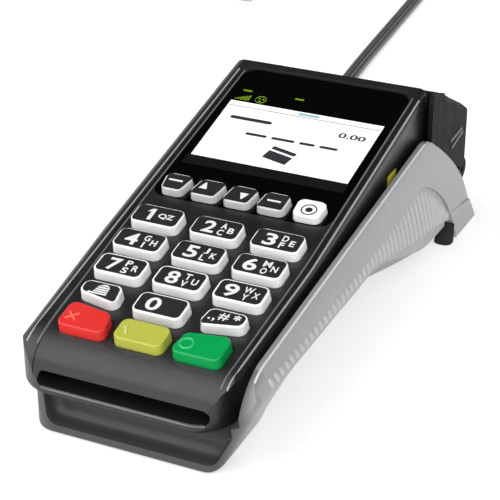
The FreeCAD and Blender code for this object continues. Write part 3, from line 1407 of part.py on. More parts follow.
def casing_screws():
    """Four casing screws and the door's screw."""
    solids = []
    low = size("casing_bottom") + 2.6
    for x, y in screw_places():
        head = post(size("screw_head"), x, y, low, low + 2.2)
        shank = post(size("screw_radius") - 0.12, x, y, low + 2, post_top_z(y) + 6)
        solids.append(head.fuse(shank))
    y = size("door_front_y") + size("door_long") - 4.5
    base = size("casing_bottom")
    solids.append(post(1.5, 0, y, base + 0.2, base + 1.1))
    return feature("casing_screws", Part.makeCompound(solids))


def home():
    """Shift from the keypad's front centre to the middle of the footprint."""
    middle_x = (size("foot_out_x") - size("side_rear_half")) / 2
    return Placement(Vector(-middle_x, -size("cover_rear_y") / 2, 0), Rotation())


def check_and_write():
    """Stop on any failed object, then write one file per sub-part."""
    for thing in pieces:
        thing.Placement = home().multiply(thing.Placement)
    doc.recompute()
    for thing in doc.Objects:
        if "Invalid" in thing.State or "Error" in thing.State:
            raise RuntimeError("failed: " + thing.Label)
    os.makedirs("parts", exist_ok=True)
    for thing in pieces:
        shape = thing.Shape
        if shape.isNull() or not shape.isValid():
            raise RuntimeError("bad shape: " + thing.Label)
        around = shape.optimalBoundingBox(False)
        print("%-18s solids %2d volume %9.1f" % (thing.Label, len(shape.Solids), shape.Volume),
              "box", [round(value, 1) for value in (around.XMin, around.XMax, around.YMin,
                                                    around.YMax, around.ZMin, around.ZMax)])
        shape.exportStep("parts/%s.step" % thing.Label)


lower_casing()
upper_housing()
for name, kind, u, v in key_list():
    key(name, kind, u, v)
display_window()
boards()
chip_reader()
magnetic_head()
printer()
paper_cover()
hinge_pin()
tear_bar()
rubber_feet()
bottom_door()
casing_screws()
cord_gland()
cords()
check_and_write()
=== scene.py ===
"""Looks of a counter payment terminal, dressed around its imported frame.

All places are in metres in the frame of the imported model.  Numbers given in millimetres
are turned into metres by MM.  The deck is the tilted plane of the keys and the window:
u runs to the right, v up the slope and w out of it.
"""

import logging
import math
from contextlib import contextmanager
from dataclasses import dataclass, field
from enum import Enum
from typing import Iterator, Optional, Sequence

import bpy
from mathutils import Matrix, Vector
from mathutils.bvhtree import BVHTree


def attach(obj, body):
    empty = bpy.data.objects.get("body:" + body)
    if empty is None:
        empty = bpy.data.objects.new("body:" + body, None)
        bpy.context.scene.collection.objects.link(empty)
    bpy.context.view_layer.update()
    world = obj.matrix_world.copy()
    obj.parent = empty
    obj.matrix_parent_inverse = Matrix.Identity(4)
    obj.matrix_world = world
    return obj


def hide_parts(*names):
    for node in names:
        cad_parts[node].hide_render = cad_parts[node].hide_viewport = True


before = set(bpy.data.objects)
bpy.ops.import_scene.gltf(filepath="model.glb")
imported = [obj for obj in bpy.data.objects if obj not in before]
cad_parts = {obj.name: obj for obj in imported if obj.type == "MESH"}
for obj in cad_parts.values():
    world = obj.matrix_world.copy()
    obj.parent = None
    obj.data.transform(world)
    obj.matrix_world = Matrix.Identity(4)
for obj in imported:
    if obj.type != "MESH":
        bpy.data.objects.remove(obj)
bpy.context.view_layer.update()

MM = 0.001
HOME = Vector((-3.1, -96.8, 0.0)) * MM
LOG = logging.getLogger("terminal")
Colour = tuple[float, float, float]
Point2 = tuple[float, float]
Point3 = tuple[float, float, float]
Line = tuple[Vector, Vector, float]
Piece = bpy.types.Object
Socket = bpy.types.NodeSocket

DOWN = Vector((0.0, 0.0, -1.0))
LEFTWARD = Vector((-1.0, 0.0, 0.0))
REARWARD = Vector((0.0, 1.0, 0.0))
IDENTITY = Matrix.Identity(4)

# Signs of a rectangle's corners, anticlockwise from the lower left
QUARTERS = ((-1, -1), (1, -1), (1, 1), (-1, 1))
# A place in millimetres that is clear of the right flank
OUTSIDE_X = 60.0
# The part of a noise's range that holds most of it
NOISE_MIDDLE = (0.3, 0.7)


def place(x: float, y: float, z: float) -> Vector:
    """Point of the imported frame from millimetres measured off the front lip."""
    return HOME + Vector((x, y, z)) * MM


# Finishes

class Nodes:
    """Node tree, with short calls to add and join its nodes."""

    def __init__(self, owner: bpy.types.ID) -> None:
        """Give the owner a node tree.

        Args:
            owner: A new material or world.
        """
        owner.use_nodes = True
        self.tree = owner.node_tree
        self.coordinates = self.tree.nodes.new("ShaderNodeTexCoord").outputs

    def node(self, kind: str, inputs: dict, **settings: object) -> bpy.types.Node:
        """Add a node.

        Args:
            kind: Type of the node.
            inputs: Values or output sockets by input name or number.
            settings: Properties of the node itself.

        Returns:
            The new node.
        """
        made = self.tree.nodes.new(kind)
        for name, value in settings.items():
            setattr(made, name, value)
        for name, value in inputs.items():
            if isinstance(value, Socket):
                self.tree.links.new(value, made.inputs[name])
            else:
                made.inputs[name].default_value = value
        return made

    def axes(self, kind: str) -> bpy.types.NodeOutputs:
        """X, Y and Z of one kind of coordinates."""
        return self.node("ShaderNodeSeparateXYZ", {"Vector": self.coordinates[kind]}).outputs

    def noise(self, per_metre: float, detail: float = 2.0,
              stretch: Colour = (1.0, 1.0, 1.0)) -> Socket:
        """Noise over the piece.

        Args:
            per_metre: Number of grains in a metre.
            detail: Octaves of the noise.
            stretch: Factors on the three axes.

        Returns:
            Output socket from 0 to 1.
        """
        mapped = self.node("ShaderNodeMapping", {"Vector": self.coordinates["Object"],
                                                  "Scale": stretch})
        grain = self.node("ShaderNodeTexNoise", {"Vector": mapped.outputs["Vector"],
                                                 "Scale": per_metre, "Detail": detail})
        return grain.outputs["Fac"]

    def run(self, value: Socket, start: Point2, end: Point2 = (0.0, 1.0),
            soft: bool = False) -> Socket:
        """Map one range of numbers onto another.

        Args:
            value: The number's socket.
            start: Range that it comes from.
            end: Range that it goes to.
            soft: Whether the map eases in and out.

        Returns:
            Output socket, held at both ends of the range.
        """
        ranged = self.node("ShaderNodeMapRange", {
            "Value": value, "From Min": start[0], "From Max": start[1],
            "To Min": end[0], "To Max": end[1]},
            interpolation_type="SMOOTHSTEP" if soft else "LINEAR")
        return ranged.outputs["Result"]

    def maths(self, operation: str, *values: object) -> Socket:
        """Number worked out from sockets and numbers."""
        return self.node("ShaderNodeMath", dict(enumerate(values)), operation=operation).outputs[0]

    def tint(self, source: Socket, low: Colour, high: Colour) -> Socket:
        """Mix two colours over the middle of a noise.

        Args:
            source: The noise.
            low: Colour at its low end.
            high: Colour at its high end.

        Returns:
            Output socket of the colour.
        """
        ramp = self.node("ShaderNodeValToRGB", {"Fac": source})
        for stop, position, colour in zip(ramp.color_ramp.elements, NOISE_MIDDLE, (low, high)):
            stop.position = position
            stop.color = (*colour, 1.0)
        return ramp.outputs["Color"]

    def blend(self, share: Socket, low: Colour, high: object) -> Socket:
        """Mix two colours by a number from 0 to 1.

        Args:
            share: The number's socket.
            low: Colour at zero.
            high: Colour or socket at one.

        Returns:
            Output socket of the colour.
        """
        second = (*high, 1.0) if isinstance(high, tuple) else high
        return self.node("ShaderNodeMix", {"Factor": share, 6: (*low, 1.0), 7: second},
                         data_type="RGBA").outputs[2]


class Shader(Nodes):
    """Node tree of one finish."""

    def __init__(self, name: str) -> None:
        """Make the material and find its surface shader.

        Args:
            name: Name of the material.
        """
        self.material = bpy.data.materials.new(name)
        super().__init__(self.material)
        self.surface = self.tree.nodes["Principled BSDF"]

    def put(self, socket: str, value: object) -> None:
        """Set one number or colour on the surface shader's own socket."""
        self.surface.inputs[socket].default_value = (
            (*value, 1.0) if isinstance(value, tuple) else value)

    def feed(self, socket: str, source: Socket) -> None:
        """Join a node's output to the surface shader."""
        self.tree.links.new(source, self.surface.inputs[socket])

    def mottle(self, source: Socket, colour: Colour, share: float) -> None:
        """Vary a colour by a share of itself over a noise."""
        self.feed("Base Color", self.tint(source, shade(colour, 1 - share),
                                          shade(colour, 1 + share)))

    def roughen(self, source: Socket, low: float, high: float) -> None:
        """Vary the roughness over the middle of a noise."""
        self.feed("Roughness", self.run(source, NOISE_MIDDLE, (low, high)))

    def wear(self, roughness: float) -> None:
        """Uneven roughness of a surface that is handled."""
        self.roughen(self.noise(140.0), roughness - 0.04, roughness + 0.05)

    def glow(self, colour: Colour, strength: float) -> None:
        """Light that the surface gives off, if it does."""
        if strength:
            self.put("Emission Color", colour)
            self.put("Emission Strength", strength)

    def bump(self, height: Socket, depth: float, strength: float = 1.0) -> None:
        """Raise the surface by a height from 0 to 1.

        Args:
            height: The height's socket.
            depth: Depth in metres at a height of one.
            strength: Share of the effect.
        """
        made = self.node("ShaderNodeBump", {"Height": height, "Distance": depth,
                                            "Strength": strength})
        self.feed("Normal", made.outputs["Normal"])


def shade(colour: Colour, factor: float) -> Colour:
    """Colour made lighter or darker."""
    return tuple(min(1.0, part * factor) for part in colour)


@dataclass(frozen=True)
class Moulded:
    """Moulded plastic with a fine spark-eroded grain."""

    name: str
    colour: Colour
    roughness: float = 0.3
    gloss: float = 0.5
    mottle: float = 0.02
    grain: float = 3000.0
    grain_depth: float = 0.00001
    glow: float = 0.0
    clouds: float = 60.0

    def material(self) -> bpy.types.Material:
        """Build the finish."""
        shader = Shader(self.name)
        shader.mottle(shader.noise(self.clouds, 3.0), self.colour, self.mottle)
        shader.wear(self.roughness)
        shader.put("Specular IOR Level", self.gloss)
        shader.glow(self.colour, self.glow)
        shader.bump(shader.noise(self.grain, 1.0), self.grain_depth)
        return shader.material


@dataclass(frozen=True)
class TwoTone:
    """Grey moulded plastic with painted shade on its front below the lip and along the groove.

    The limit of the painted front shade leans outwards as it rises, up to its widest place.  A
    strip of painted shade also runs along the groove by the housing and over the nose.  Ranges
    across and along are in metres, from the painted shade to the plain grey.
    """

    name: str
    colour: Colour
    # Painted shade: colour of the front faces below the lip
    front: Colour
    # Share of the colour left where shade is painted along the groove and over the nose
    crest: float = 0.66
    roughness: float = 0.42
    # Limit of the painted front shade across the casing, leaning outwards as it rises
    lean: float = 0.37
    limit_x: float = 0.0268
    widest_x: float = 0.0335
    # Ranges across and along over which the painted front shade gives way to the grey
    across: Point2 = (-0.0012, 0.0036)
    along: Point2 = (-0.0868, -0.0838)
    # Range across the casing over which the painted groove shade sets in
    crest_x: Point2 = (0.0300, 0.0305)
    # Range along the casing over which the painted shade on the nose fades out
    nose_y: Point2 = (-0.0930, -0.0895)
    grain: float = 2200.0
    grain_depth: float = 0.00003

    def material(self) -> bpy.types.Material:
        """Build the finish."""
        shader = Shader(self.name)
        axes = shader.axes("Object")
        falling = (1.0, 0.0)
        slant = shader.maths("MULTIPLY_ADD", axes["Z"], self.lean, self.limit_x)
        limit = shader.maths("MINIMUM", slant, self.widest_x)
        across = shader.run(shader.maths("SUBTRACT", axes["X"], limit), self.across, soft=True)
        along = shader.run(axes["Y"], self.along, soft=True)
        # Painted shade on a strip along the groove between the housing and the wing
        groove_strip_shade = shader.maths("MULTIPLY", shader.run(axes["X"], self.crest_x),
                            shader.run(across, (0.0, 1.0), falling))
        # Painted shade over the nose, joined to the strip along the groove
        painted_shade = shader.maths("MAXIMUM", groove_strip_shade, shader.run(axes["Y"], self.nose_y, falling))
        flank = shader.blend(painted_shade, self.colour, shade(self.colour, self.crest))
        # Painted shade on the front below the lip, where both ranges leave it dark
        share = shader.maths("MAXIMUM", across, along)
        shader.feed("Base Color", shader.blend(share, self.front, flank))
        shader.wear(self.roughness)
        shader.bump(shader.noise(self.grain, 1.0), self.grain_depth)
        return shader.material


@dataclass(frozen=True)
class Polished:
    """Hard glossy plastic or lens with faint smears."""

    name: str
    colour: Colour
    roughness: float = 0.08
    glow: float = 0.0
    coat: float = 0.5
    gloss: float = 0.5

    def material(self) -> bpy.types.Material:
        """Build the finish."""
        shader = Shader(self.name)
        smear = shader.noise(45.0, 4.0, (1.0, 2.2, 1.0))
        shader.mottle(smear, self.colour, 0.03)
        shader.roughen(smear, self.roughness, self.roughness + 0.05)
        shader.put("Coat Weight", self.coat)
        shader.put("Specular IOR Level", self.gloss)
        shader.put("Coat Roughness", 0.04)
        shader.glow(self.colour, self.glow)
        return shader.material


@dataclass(frozen=True)
class Metal:
    """Plated, drawn or rolled metal with fine lines along one axis."""

    name: str
    colour: Colour
    roughness: float = 0.3
    lines: Colour = (40.0, 1.0, 1.0)

    def material(self) -> bpy.types.Material:
        """Build the finish."""
        shader = Shader(self.name)
        brushed = shader.noise(220.0, 2.0, self.lines)
        shader.feed("Base Color", shader.tint(shader.noise(90.0), shade(self.colour, 0.9),
                                              self.colour))
        shader.roughen(brushed, self.roughness - 0.06, self.roughness + 0.1)
        shader.put("Metallic", 1.0)
        shader.bump(brushed, 0.000008)
        return shader.material


@dataclass(frozen=True)
class Rolled:
    """Paper wound on the roll: fibres outside, fine rings of layers on its ends."""

    name: str
    colour: Colour
    centre: Vector
    layers: float = 1400.0

    def material(self) -> bpy.types.Material:
        """Build the finish."""
        shader = Shader(self.name)
        moved = shader.node("ShaderNodeMapping", {"Vector": shader.coordinates["Object"],
                                                  "Location": tuple(-self.centre)})
        rings = shader.node("ShaderNodeTexWave", {
            "Vector": moved.outputs["Vector"], "Scale": self.layers, "Distortion": 0.6,
            "Detail": 1.0}, wave_type="RINGS", rings_direction="X")
        shader.feed("Base Color", shader.tint(rings.outputs["Fac"], shade(self.colour, 0.86),
                                              self.colour))
        shader.put("Roughness", 0.72)
        shader.bump(shader.noise(1500.0, 3.0), 0.00003)
        return shader.material


@dataclass(frozen=True)
class Laminate:
    """Circuit board with its copper traces showing through the mask."""

    name: str
    colour: Colour
    traces: float = 420.0

    def material(self) -> bpy.types.Material:
        """Build the finish."""
        shader = Shader(self.name)
        traces = shader.node("ShaderNodeTexVoronoi", {
            "Vector": shader.coordinates["Object"], "Scale": self.traces},
            distance="MANHATTAN", feature="DISTANCE_TO_EDGE")
        shader.feed("Base Color", shader.tint(traces.outputs["Distance"],
                                              shade(self.colour, 1.9), self.colour))
        shader.put("Roughness", 0.35)
        shader.bump(traces.outputs["Distance"], 0.00004)
        return shader.material


class Finish(Enum):
    """Every finish on the terminal.

    A moulded one gives its name, colour, roughness, gloss, mottle, grains in a metre and their
    depth, and a polished one its name, colour, roughness and glow.
    """

    HOUSING = Moulded("housing_black", (0.009, 0.009, 0.0095), 0.36, 0.62, 0.1, 1500.0, 0.00006)
    COVER = Moulded("cover_black", (0.013, 0.013, 0.014), 0.5, 0.03, 0.1, 1500.0, 0.00006)
    # Light grey for the black housing's outer rim edges: a painted highlight
    RIM = Moulded("rim_painted_highlight", (0.34, 0.34, 0.345), 0.25, 1.0, 0.05, 1500.0)
    # Mid grey for the inner rim edges, the lip and the cover's ridges: a painted highlight
    RIM_INNER = Moulded("rim_inner_painted_highlight", (0.14, 0.14, 0.145), 0.3, 0.8, 0.05, 1500.0)
    # Grey casing with painted shade on its front below the lip, along the groove and over the nose
    CASING = TwoTone("casing_grey", (0.325, 0.325, 0.335), (0.042, 0.042, 0.044))
    # Ribs lighter than the casing: a painted highlight on their tops
    RIB = Moulded("rib_painted_highlight", (0.43, 0.43, 0.44), 0.42, 0.5, 0.03, 2200.0)
    # Near white grey on the wing's crest edge: a painted highlight
    CREST = Moulded("crest_painted_highlight", (0.62, 0.62, 0.63), 0.3, 0.8, 0.03, 2200.0)
    WINDOW = Polished("window_gloss", (0.0012, 0.0012, 0.0014), 0.05, coat=0.0, gloss=0.15)
    KEY_WHITE = Moulded("keycap_white", (0.93, 0.93, 0.925), 0.35, mottle=0.01)
    KEY_GREY = Moulded("key_grey", (0.60, 0.60, 0.61), 0.35)
    KEY_RED = Moulded("keycap_red", (0.717, 0.033, 0.029), 0.28, 0.4, 0.005)
    KEY_YELLOW = Moulded("keycap_yellow", (0.456, 0.476, 0.067), 0.28, 0.4, 0.005)
    KEY_GREEN = Moulded("keycap_green", (0.0, 0.33, 0.0757), 0.28, 0.4, 0.005)
    MARK_RED = Moulded("mark_red", (0.90, 0.16, 0.10), gloss=0.6)
    MARK_YELLOW = Moulded("mark_yellow", (0.66, 0.66, 0.24), gloss=0.6)
    MARK_GREEN = Moulded("mark_green", (0.03, 0.50, 0.16), gloss=0.6)
    LABEL = Moulded("label_black", (0.016, 0.016, 0.017), 0.38, mottle=0.05)
    LEGEND = Moulded("legend_white", (0.80, 0.80, 0.80), 0.45, 0.4, grain_depth=0.000005)
    RUBBER = Moulded("foot_rubber", (0.014, 0.014, 0.014), 0.75, 0.3, 0.1, 1800.0, 0.00006)
    KEY_MAT = Moulded("mat_silicone", (0.30, 0.30, 0.31), 0.6, 0.3, 0.04, 1800.0, 0.00003)
    INNER = Moulded("frame_plastic", (0.05, 0.05, 0.055), 0.5, 0.4, 0.08, 1800.0, 0.00004)
    GEAR = Moulded("gear_plastic", (0.74, 0.73, 0.68), 0.4, 0.5, 0.03, 2200.0, 0.00002)
    CORD = Moulded("cord_jacket", (0.035, 0.035, 0.036), 0.28, 0.9, 0.06, 1500.0)
    CLEAR = Polished("plug_resin", (0.52, 0.55, 0.55), 0.12)
    BOARD = Laminate("board_mask", (0.015, 0.11, 0.045))
    STEEL = Metal("plated_steel", (0.60, 0.60, 0.62))
    HEAD = Moulded("head_yellow", (0.80, 0.66, 0.08), 0.4, 0.6, 0.05, 2200.0)
    GOLD = Metal("contact_gold", (0.83, 0.60, 0.22), 0.25)
    PAPER = Rolled("paper_roll", (0.86, 0.86, 0.83), Vector((0.0, 70.6, 19.4)) * MM)
    PICTURE = Polished("picture_white", (0.93, 0.93, 0.93), 0.12, 0.25)
    PICTURE_EDGE = Polished("picture_edge", (0.008, 0.008, 0.009), 0.12, coat=0.0, gloss=0.2)
    PICTURE_TITLE = Polished("picture_title", (0.30, 0.50, 0.62), 0.2, 0.1)
    PICTURE_INK = Polished("picture_ink", (0.035, 0.035, 0.04), 0.2)
    PICTURE_LINE = Polished("picture_line", (0.30, 0.30, 0.29), 0.2)
    PICTURE_GREEN = Polished("picture_green", (0.18, 0.33, 0.005), 0.2, 0.1)
    FLOOR = Moulded("floor_pale", (0.62, 0.62, 0.62), 0.7, 0.1, 0.01, 500.0, glow=0.85)

    def get(self) -> bpy.types.Material:
        """Material of this finish, built on first use."""
        return bpy.data.materials.get(self.value.name) or self.value.material()


def dress(piece: Piece, finish: Finish) -> None:
    """Give a piece one finish all over."""
    piece.data.materials.clear()
    piece.data.materials.append(finish.get())


# Modelling

def deselect() -> None:
    """Leave nothing selected."""
    bpy.ops.object.select_all(action="DESELECT")


def pick(piece: Piece) -> None:
    """Leave one piece selected and active."""
    deselect()
    piece.select_set(True)
    bpy.context.view_layer.objects.active = piece


@contextmanager
def edit(piece: Piece, mode: str = "FACE") -> Iterator[None]:
    """Edit mode on one piece, with all of it selected.

    Args:
        piece: The piece to edit.
        mode: VERT, EDGE or FACE.
    """
    pick(piece)
    bpy.ops.object.mode_set(mode="EDIT")
    bpy.ops.mesh.select_mode(type=mode)
    bpy.ops.mesh.select_all(action="SELECT")
    yield
    bpy.ops.object.mode_set(mode="OBJECT")


def add_object(name: str, data: bpy.types.ID) -> Piece:
    """New object that shows the given data.

    Args:
        name: Its name.
        data: Its mesh, curve, light or camera.

    Returns:
        The object.
    """
    made = bpy.data.objects.new(name, data)
    bpy.context.scene.collection.objects.link(made)
    return made


def to_mesh(piece: Piece) -> Piece:
    """Turn a curve or text into a mesh."""
    pick(piece)
    bpy.ops.object.convert(target="MESH")
    return bpy.context.object


def settle(piece: Piece, matrix: Matrix = IDENTITY) -> Piece:
    """Move a piece's mesh to its place and leave its object at the origin.

    Args:
        piece: The piece.
        matrix: Its way from where it was made to its place.

    Returns:
        The same piece.
    """
    piece.data.transform(matrix @ piece.matrix_basis)
    piece.matrix_basis = IDENTITY
    piece.data.update()
    return piece


def slanted(centre: Point2, turn: float) -> Matrix:
    """Way to a place on a plane, in millimetres, with a turn in degrees."""
    return (Matrix.Translation(Vector((*centre, 0.0)) * MM)
            @ Matrix.Rotation(math.radians(turn), 4, "Z"))


def fit(piece: Piece, finish: Finish, body: str = "base", matrix: Matrix = IDENTITY) -> None:
    """Dress a finished piece, set it in its place and let it move with a body.

    Args:
        piece: The piece.
        finish: Its finish all over.
        body: The body that it moves with.
        matrix: Its way to its place, where it isn't there yet.
    """
    dress(piece, finish)
    settle(piece, matrix)
    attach(piece, body)
    LOG.info("%s on %s", piece.name, body)


def join(pieces: Sequence[Piece], name: str) -> Piece:
    """Join several meshes into one piece.

    Args:
        pieces: The meshes, at least one.
        name: Name of the piece.

    Returns:
        The first mesh, with the others in it.
    """
    deselect()
    for piece in pieces:
        piece.select_set(True)
    bpy.context.view_layer.objects.active = pieces[0]
    if len(pieces) > 1:
        bpy.ops.object.join()
    pieces[0].name = name
    return pieces[0]


def plate(name: str, corners: Sequence[Point2], radius: float, low: float, high: float,
          edge: float = 0.0) -> Piece:
    """Flat plate with rounded corners, in millimetres in its own plane.

    Args:
        name: Name of the piece.
        corners: Four corners, anticlockwise from the lower left.
        radius: Radius of the corners.
        low: Height of the underside.
        high: Height of the top.
        edge: Width of the bevel round the top.

    Returns:
        The plate, its mesh in metres.
    """
    deselect()
    bpy.ops.mesh.primitive_plane_add(size=1.0)
    piece = bpy.context.object
    piece.name = name
    for vertex in piece.data.vertices:
        quarter = (int(math.copysign(1, vertex.co.x)), int(math.copysign(1, vertex.co.y)))
        vertex.co = Vector((*corners[QUARTERS.index(quarter)], low)) * MM
    with edit(piece, "VERT"):
        if radius:
            bpy.ops.mesh.bevel(offset=radius * MM, segments=6, affect="VERTICES")
        bpy.ops.mesh.select_all(action="SELECT")
        bpy.ops.mesh.extrude_region_move(
            TRANSFORM_OT_translate={"value": (0.0, 0.0, (high - low) * MM)})
        if edge:
            bpy.ops.mesh.bevel(offset=edge * MM, segments=2, affect="EDGES")
        bpy.ops.mesh.select_all(action="SELECT")
        bpy.ops.mesh.normals_make_consistent(inside=False)
    return piece


def rectangle(centre: Point2, wide: float, deep: float) -> list[Point2]:
    """Four corners of a rectangle."""
    return [(centre[0] + across * wide / 2, centre[1] + along * deep / 2)
            for across, along in QUARTERS]


def ring(name: str, centre: Point2, radius: float, thick: float, height: float) -> Piece:
    """Round ring lying in its plane, in millimetres.

    Args:
        name: Name of the piece.
        centre: Its middle.
        radius: Radius of its centre line.
        thick: Its thickness.
        height: Height of its centre line.

    Returns:
        The ring.
    """
    deselect()
    bpy.ops.mesh.primitive_torus_add(major_radius=radius * MM, minor_radius=thick / 2 * MM,
                                     major_segments=40, minor_segments=8,
                                     location=(centre[0] * MM, centre[1] * MM, height * MM))
    piece = bpy.context.object
    piece.name = name
    return settle(piece)


def disc(name: str, centre: Point2, radius: float, low: float, high: float) -> Piece:
    """Round plate with a bevel of three tenths of its height, in millimetres.

    Args:
        name: Name of the piece.
        centre: Its middle.
        radius: Its radius.
        low: Height of the underside.
        high: Height of the top.

    Returns:
        The plate.
    """
    deselect()
    bpy.ops.mesh.primitive_cylinder_add(
        vertices=36, radius=radius * MM, depth=(high - low) * MM,
        location=(centre[0] * MM, centre[1] * MM, (low + high) / 2 * MM))
    piece = bpy.context.object
    piece.name = name
    with edit(piece, "EDGE"):
        bpy.ops.mesh.bevel(offset=(high - low) * 0.3 * MM, segments=1, affect="EDGES")
    return settle(piece)


def lettering(words: str, centre: Point2, high: float, wide: float, low: float,
              thick: float, bold: float = 0.02) -> Piece:
    """Plain characters in their plane, in millimetres.

    Args:
        words: The characters.
        centre: Middle of the characters.
        high: Height of the characters.
        wide: Width that they fill.
        low: Height of their underside.
        thick: Thickness of the print.
        bold: Weight added to the strokes.

    Returns:
        The characters as a mesh.
    """
    deselect()
    bpy.ops.object.text_add()
    text = bpy.context.object
    text.data.body = words
    text.data.offset = bold
    text.data.extrude = 0.5
    text.data.resolution_u = 5
    piece = to_mesh(text)
    xs = [vertex.co.x for vertex in piece.data.vertices]
    ys = [vertex.co.y for vertex in piece.data.vertices]
    scale = Matrix.Diagonal((wide / (max(xs) - min(xs)), high / (max(ys) - min(ys)), thick, 1.0))
    middle = Vector(((max(xs) + min(xs)) / 2, (max(ys) + min(ys)) / 2, -0.5))
    shift = Matrix.Translation(Vector((*centre, low)))
    piece.data.transform(Matrix.Scale(MM, 4) @ shift @ scale @ Matrix.Translation(-middle))
    return piece


def smooth_path(name: str, points: Sequence[Vector], steps: int) -> Piece:
    """Smooth curve along points of the frame.

    Args:
        name: Name of the curve.
        points: Its control points.
        steps: Steps from one point to the next.

    Returns:
        The curve, with no thickness yet.
    """
    deselect()
    bpy.ops.curve.primitive_nurbs_path_add()
    path = bpy.context.object
    path.name = name
    path.data.splines.clear()
    spline = path.data.splines.new("NURBS")
    spline.points.add(len(points) - 1)
    for point, co in zip(spline.points, points):
        point.co = (*co, 1.0)
    spline.order_u = 3
    spline.use_endpoint_u = True
    path.data.dimensions = "3D"
    path.data.resolution_u = steps
    path.data.use_fill_caps = True
    return path


def round_bar(name: str, points: Sequence[Vector], radius: float) -> Piece:
    """Smooth round bar through points of the frame.

    Args:
        name: Name of the piece.
        points: Points that it follows.
        radius: Its radius in millimetres.

    Returns:
        The bar as a mesh.
    """
    path = smooth_path(name, points, 3)
    path.data.bevel_depth = radius * MM
    path.data.bevel_resolution = 2
    return to_mesh(path)


@dataclass(frozen=True)
class Deck:
    """The tilted plane of the keys and the window."""

    tilt: float = 12.54
    front_z: float = 25.36

    def matrix(self) -> Matrix:
        """Move from the deck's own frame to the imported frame."""
        return Matrix.Translation(place(0, 0, self.front_z)) @ Matrix.Rotation(
            math.radians(self.tilt), 4, "X")


# Keys

def crossing(start_a: Vector, way_a: Vector, start_b: Vector, way_b: Vector) -> Vector:
    """Point where two lines of a plane meet."""
    return start_a + way_a * ((start_b - start_a).cross(way_b) / way_a.cross(way_b))


@dataclass(frozen=True)
class KeyTop:
    """Upper face of one key, in millimetres on the deck."""

    u: float
    v: float
    wide: float
    deep: float
    shifts: tuple[tuple[int, float, float], ...] = ()
    top: float = 2.75

    def corners(self, rim: float) -> list[Point2]:
        """Corners of the face inside an even rim.

        Args:
            rim: Width of the rim.

        Returns:
            Four corners, anticlockwise from the lower left.
        """
        points = [Vector(point) for point in rectangle((self.u, self.v), self.wide, self.deep)]
        for index, across, along in self.shifts:
            points[index] += Vector((across, along))
        sides = []
        for first, second in zip(points, points[1:] + points[:1]):
            way = (second - first).normalized()
            sides.append((first + Vector((-way.y, way.x)) * rim, way))
        return [tuple(crossing(*sides[index - 1], *sides[index])) for index in range(4)]


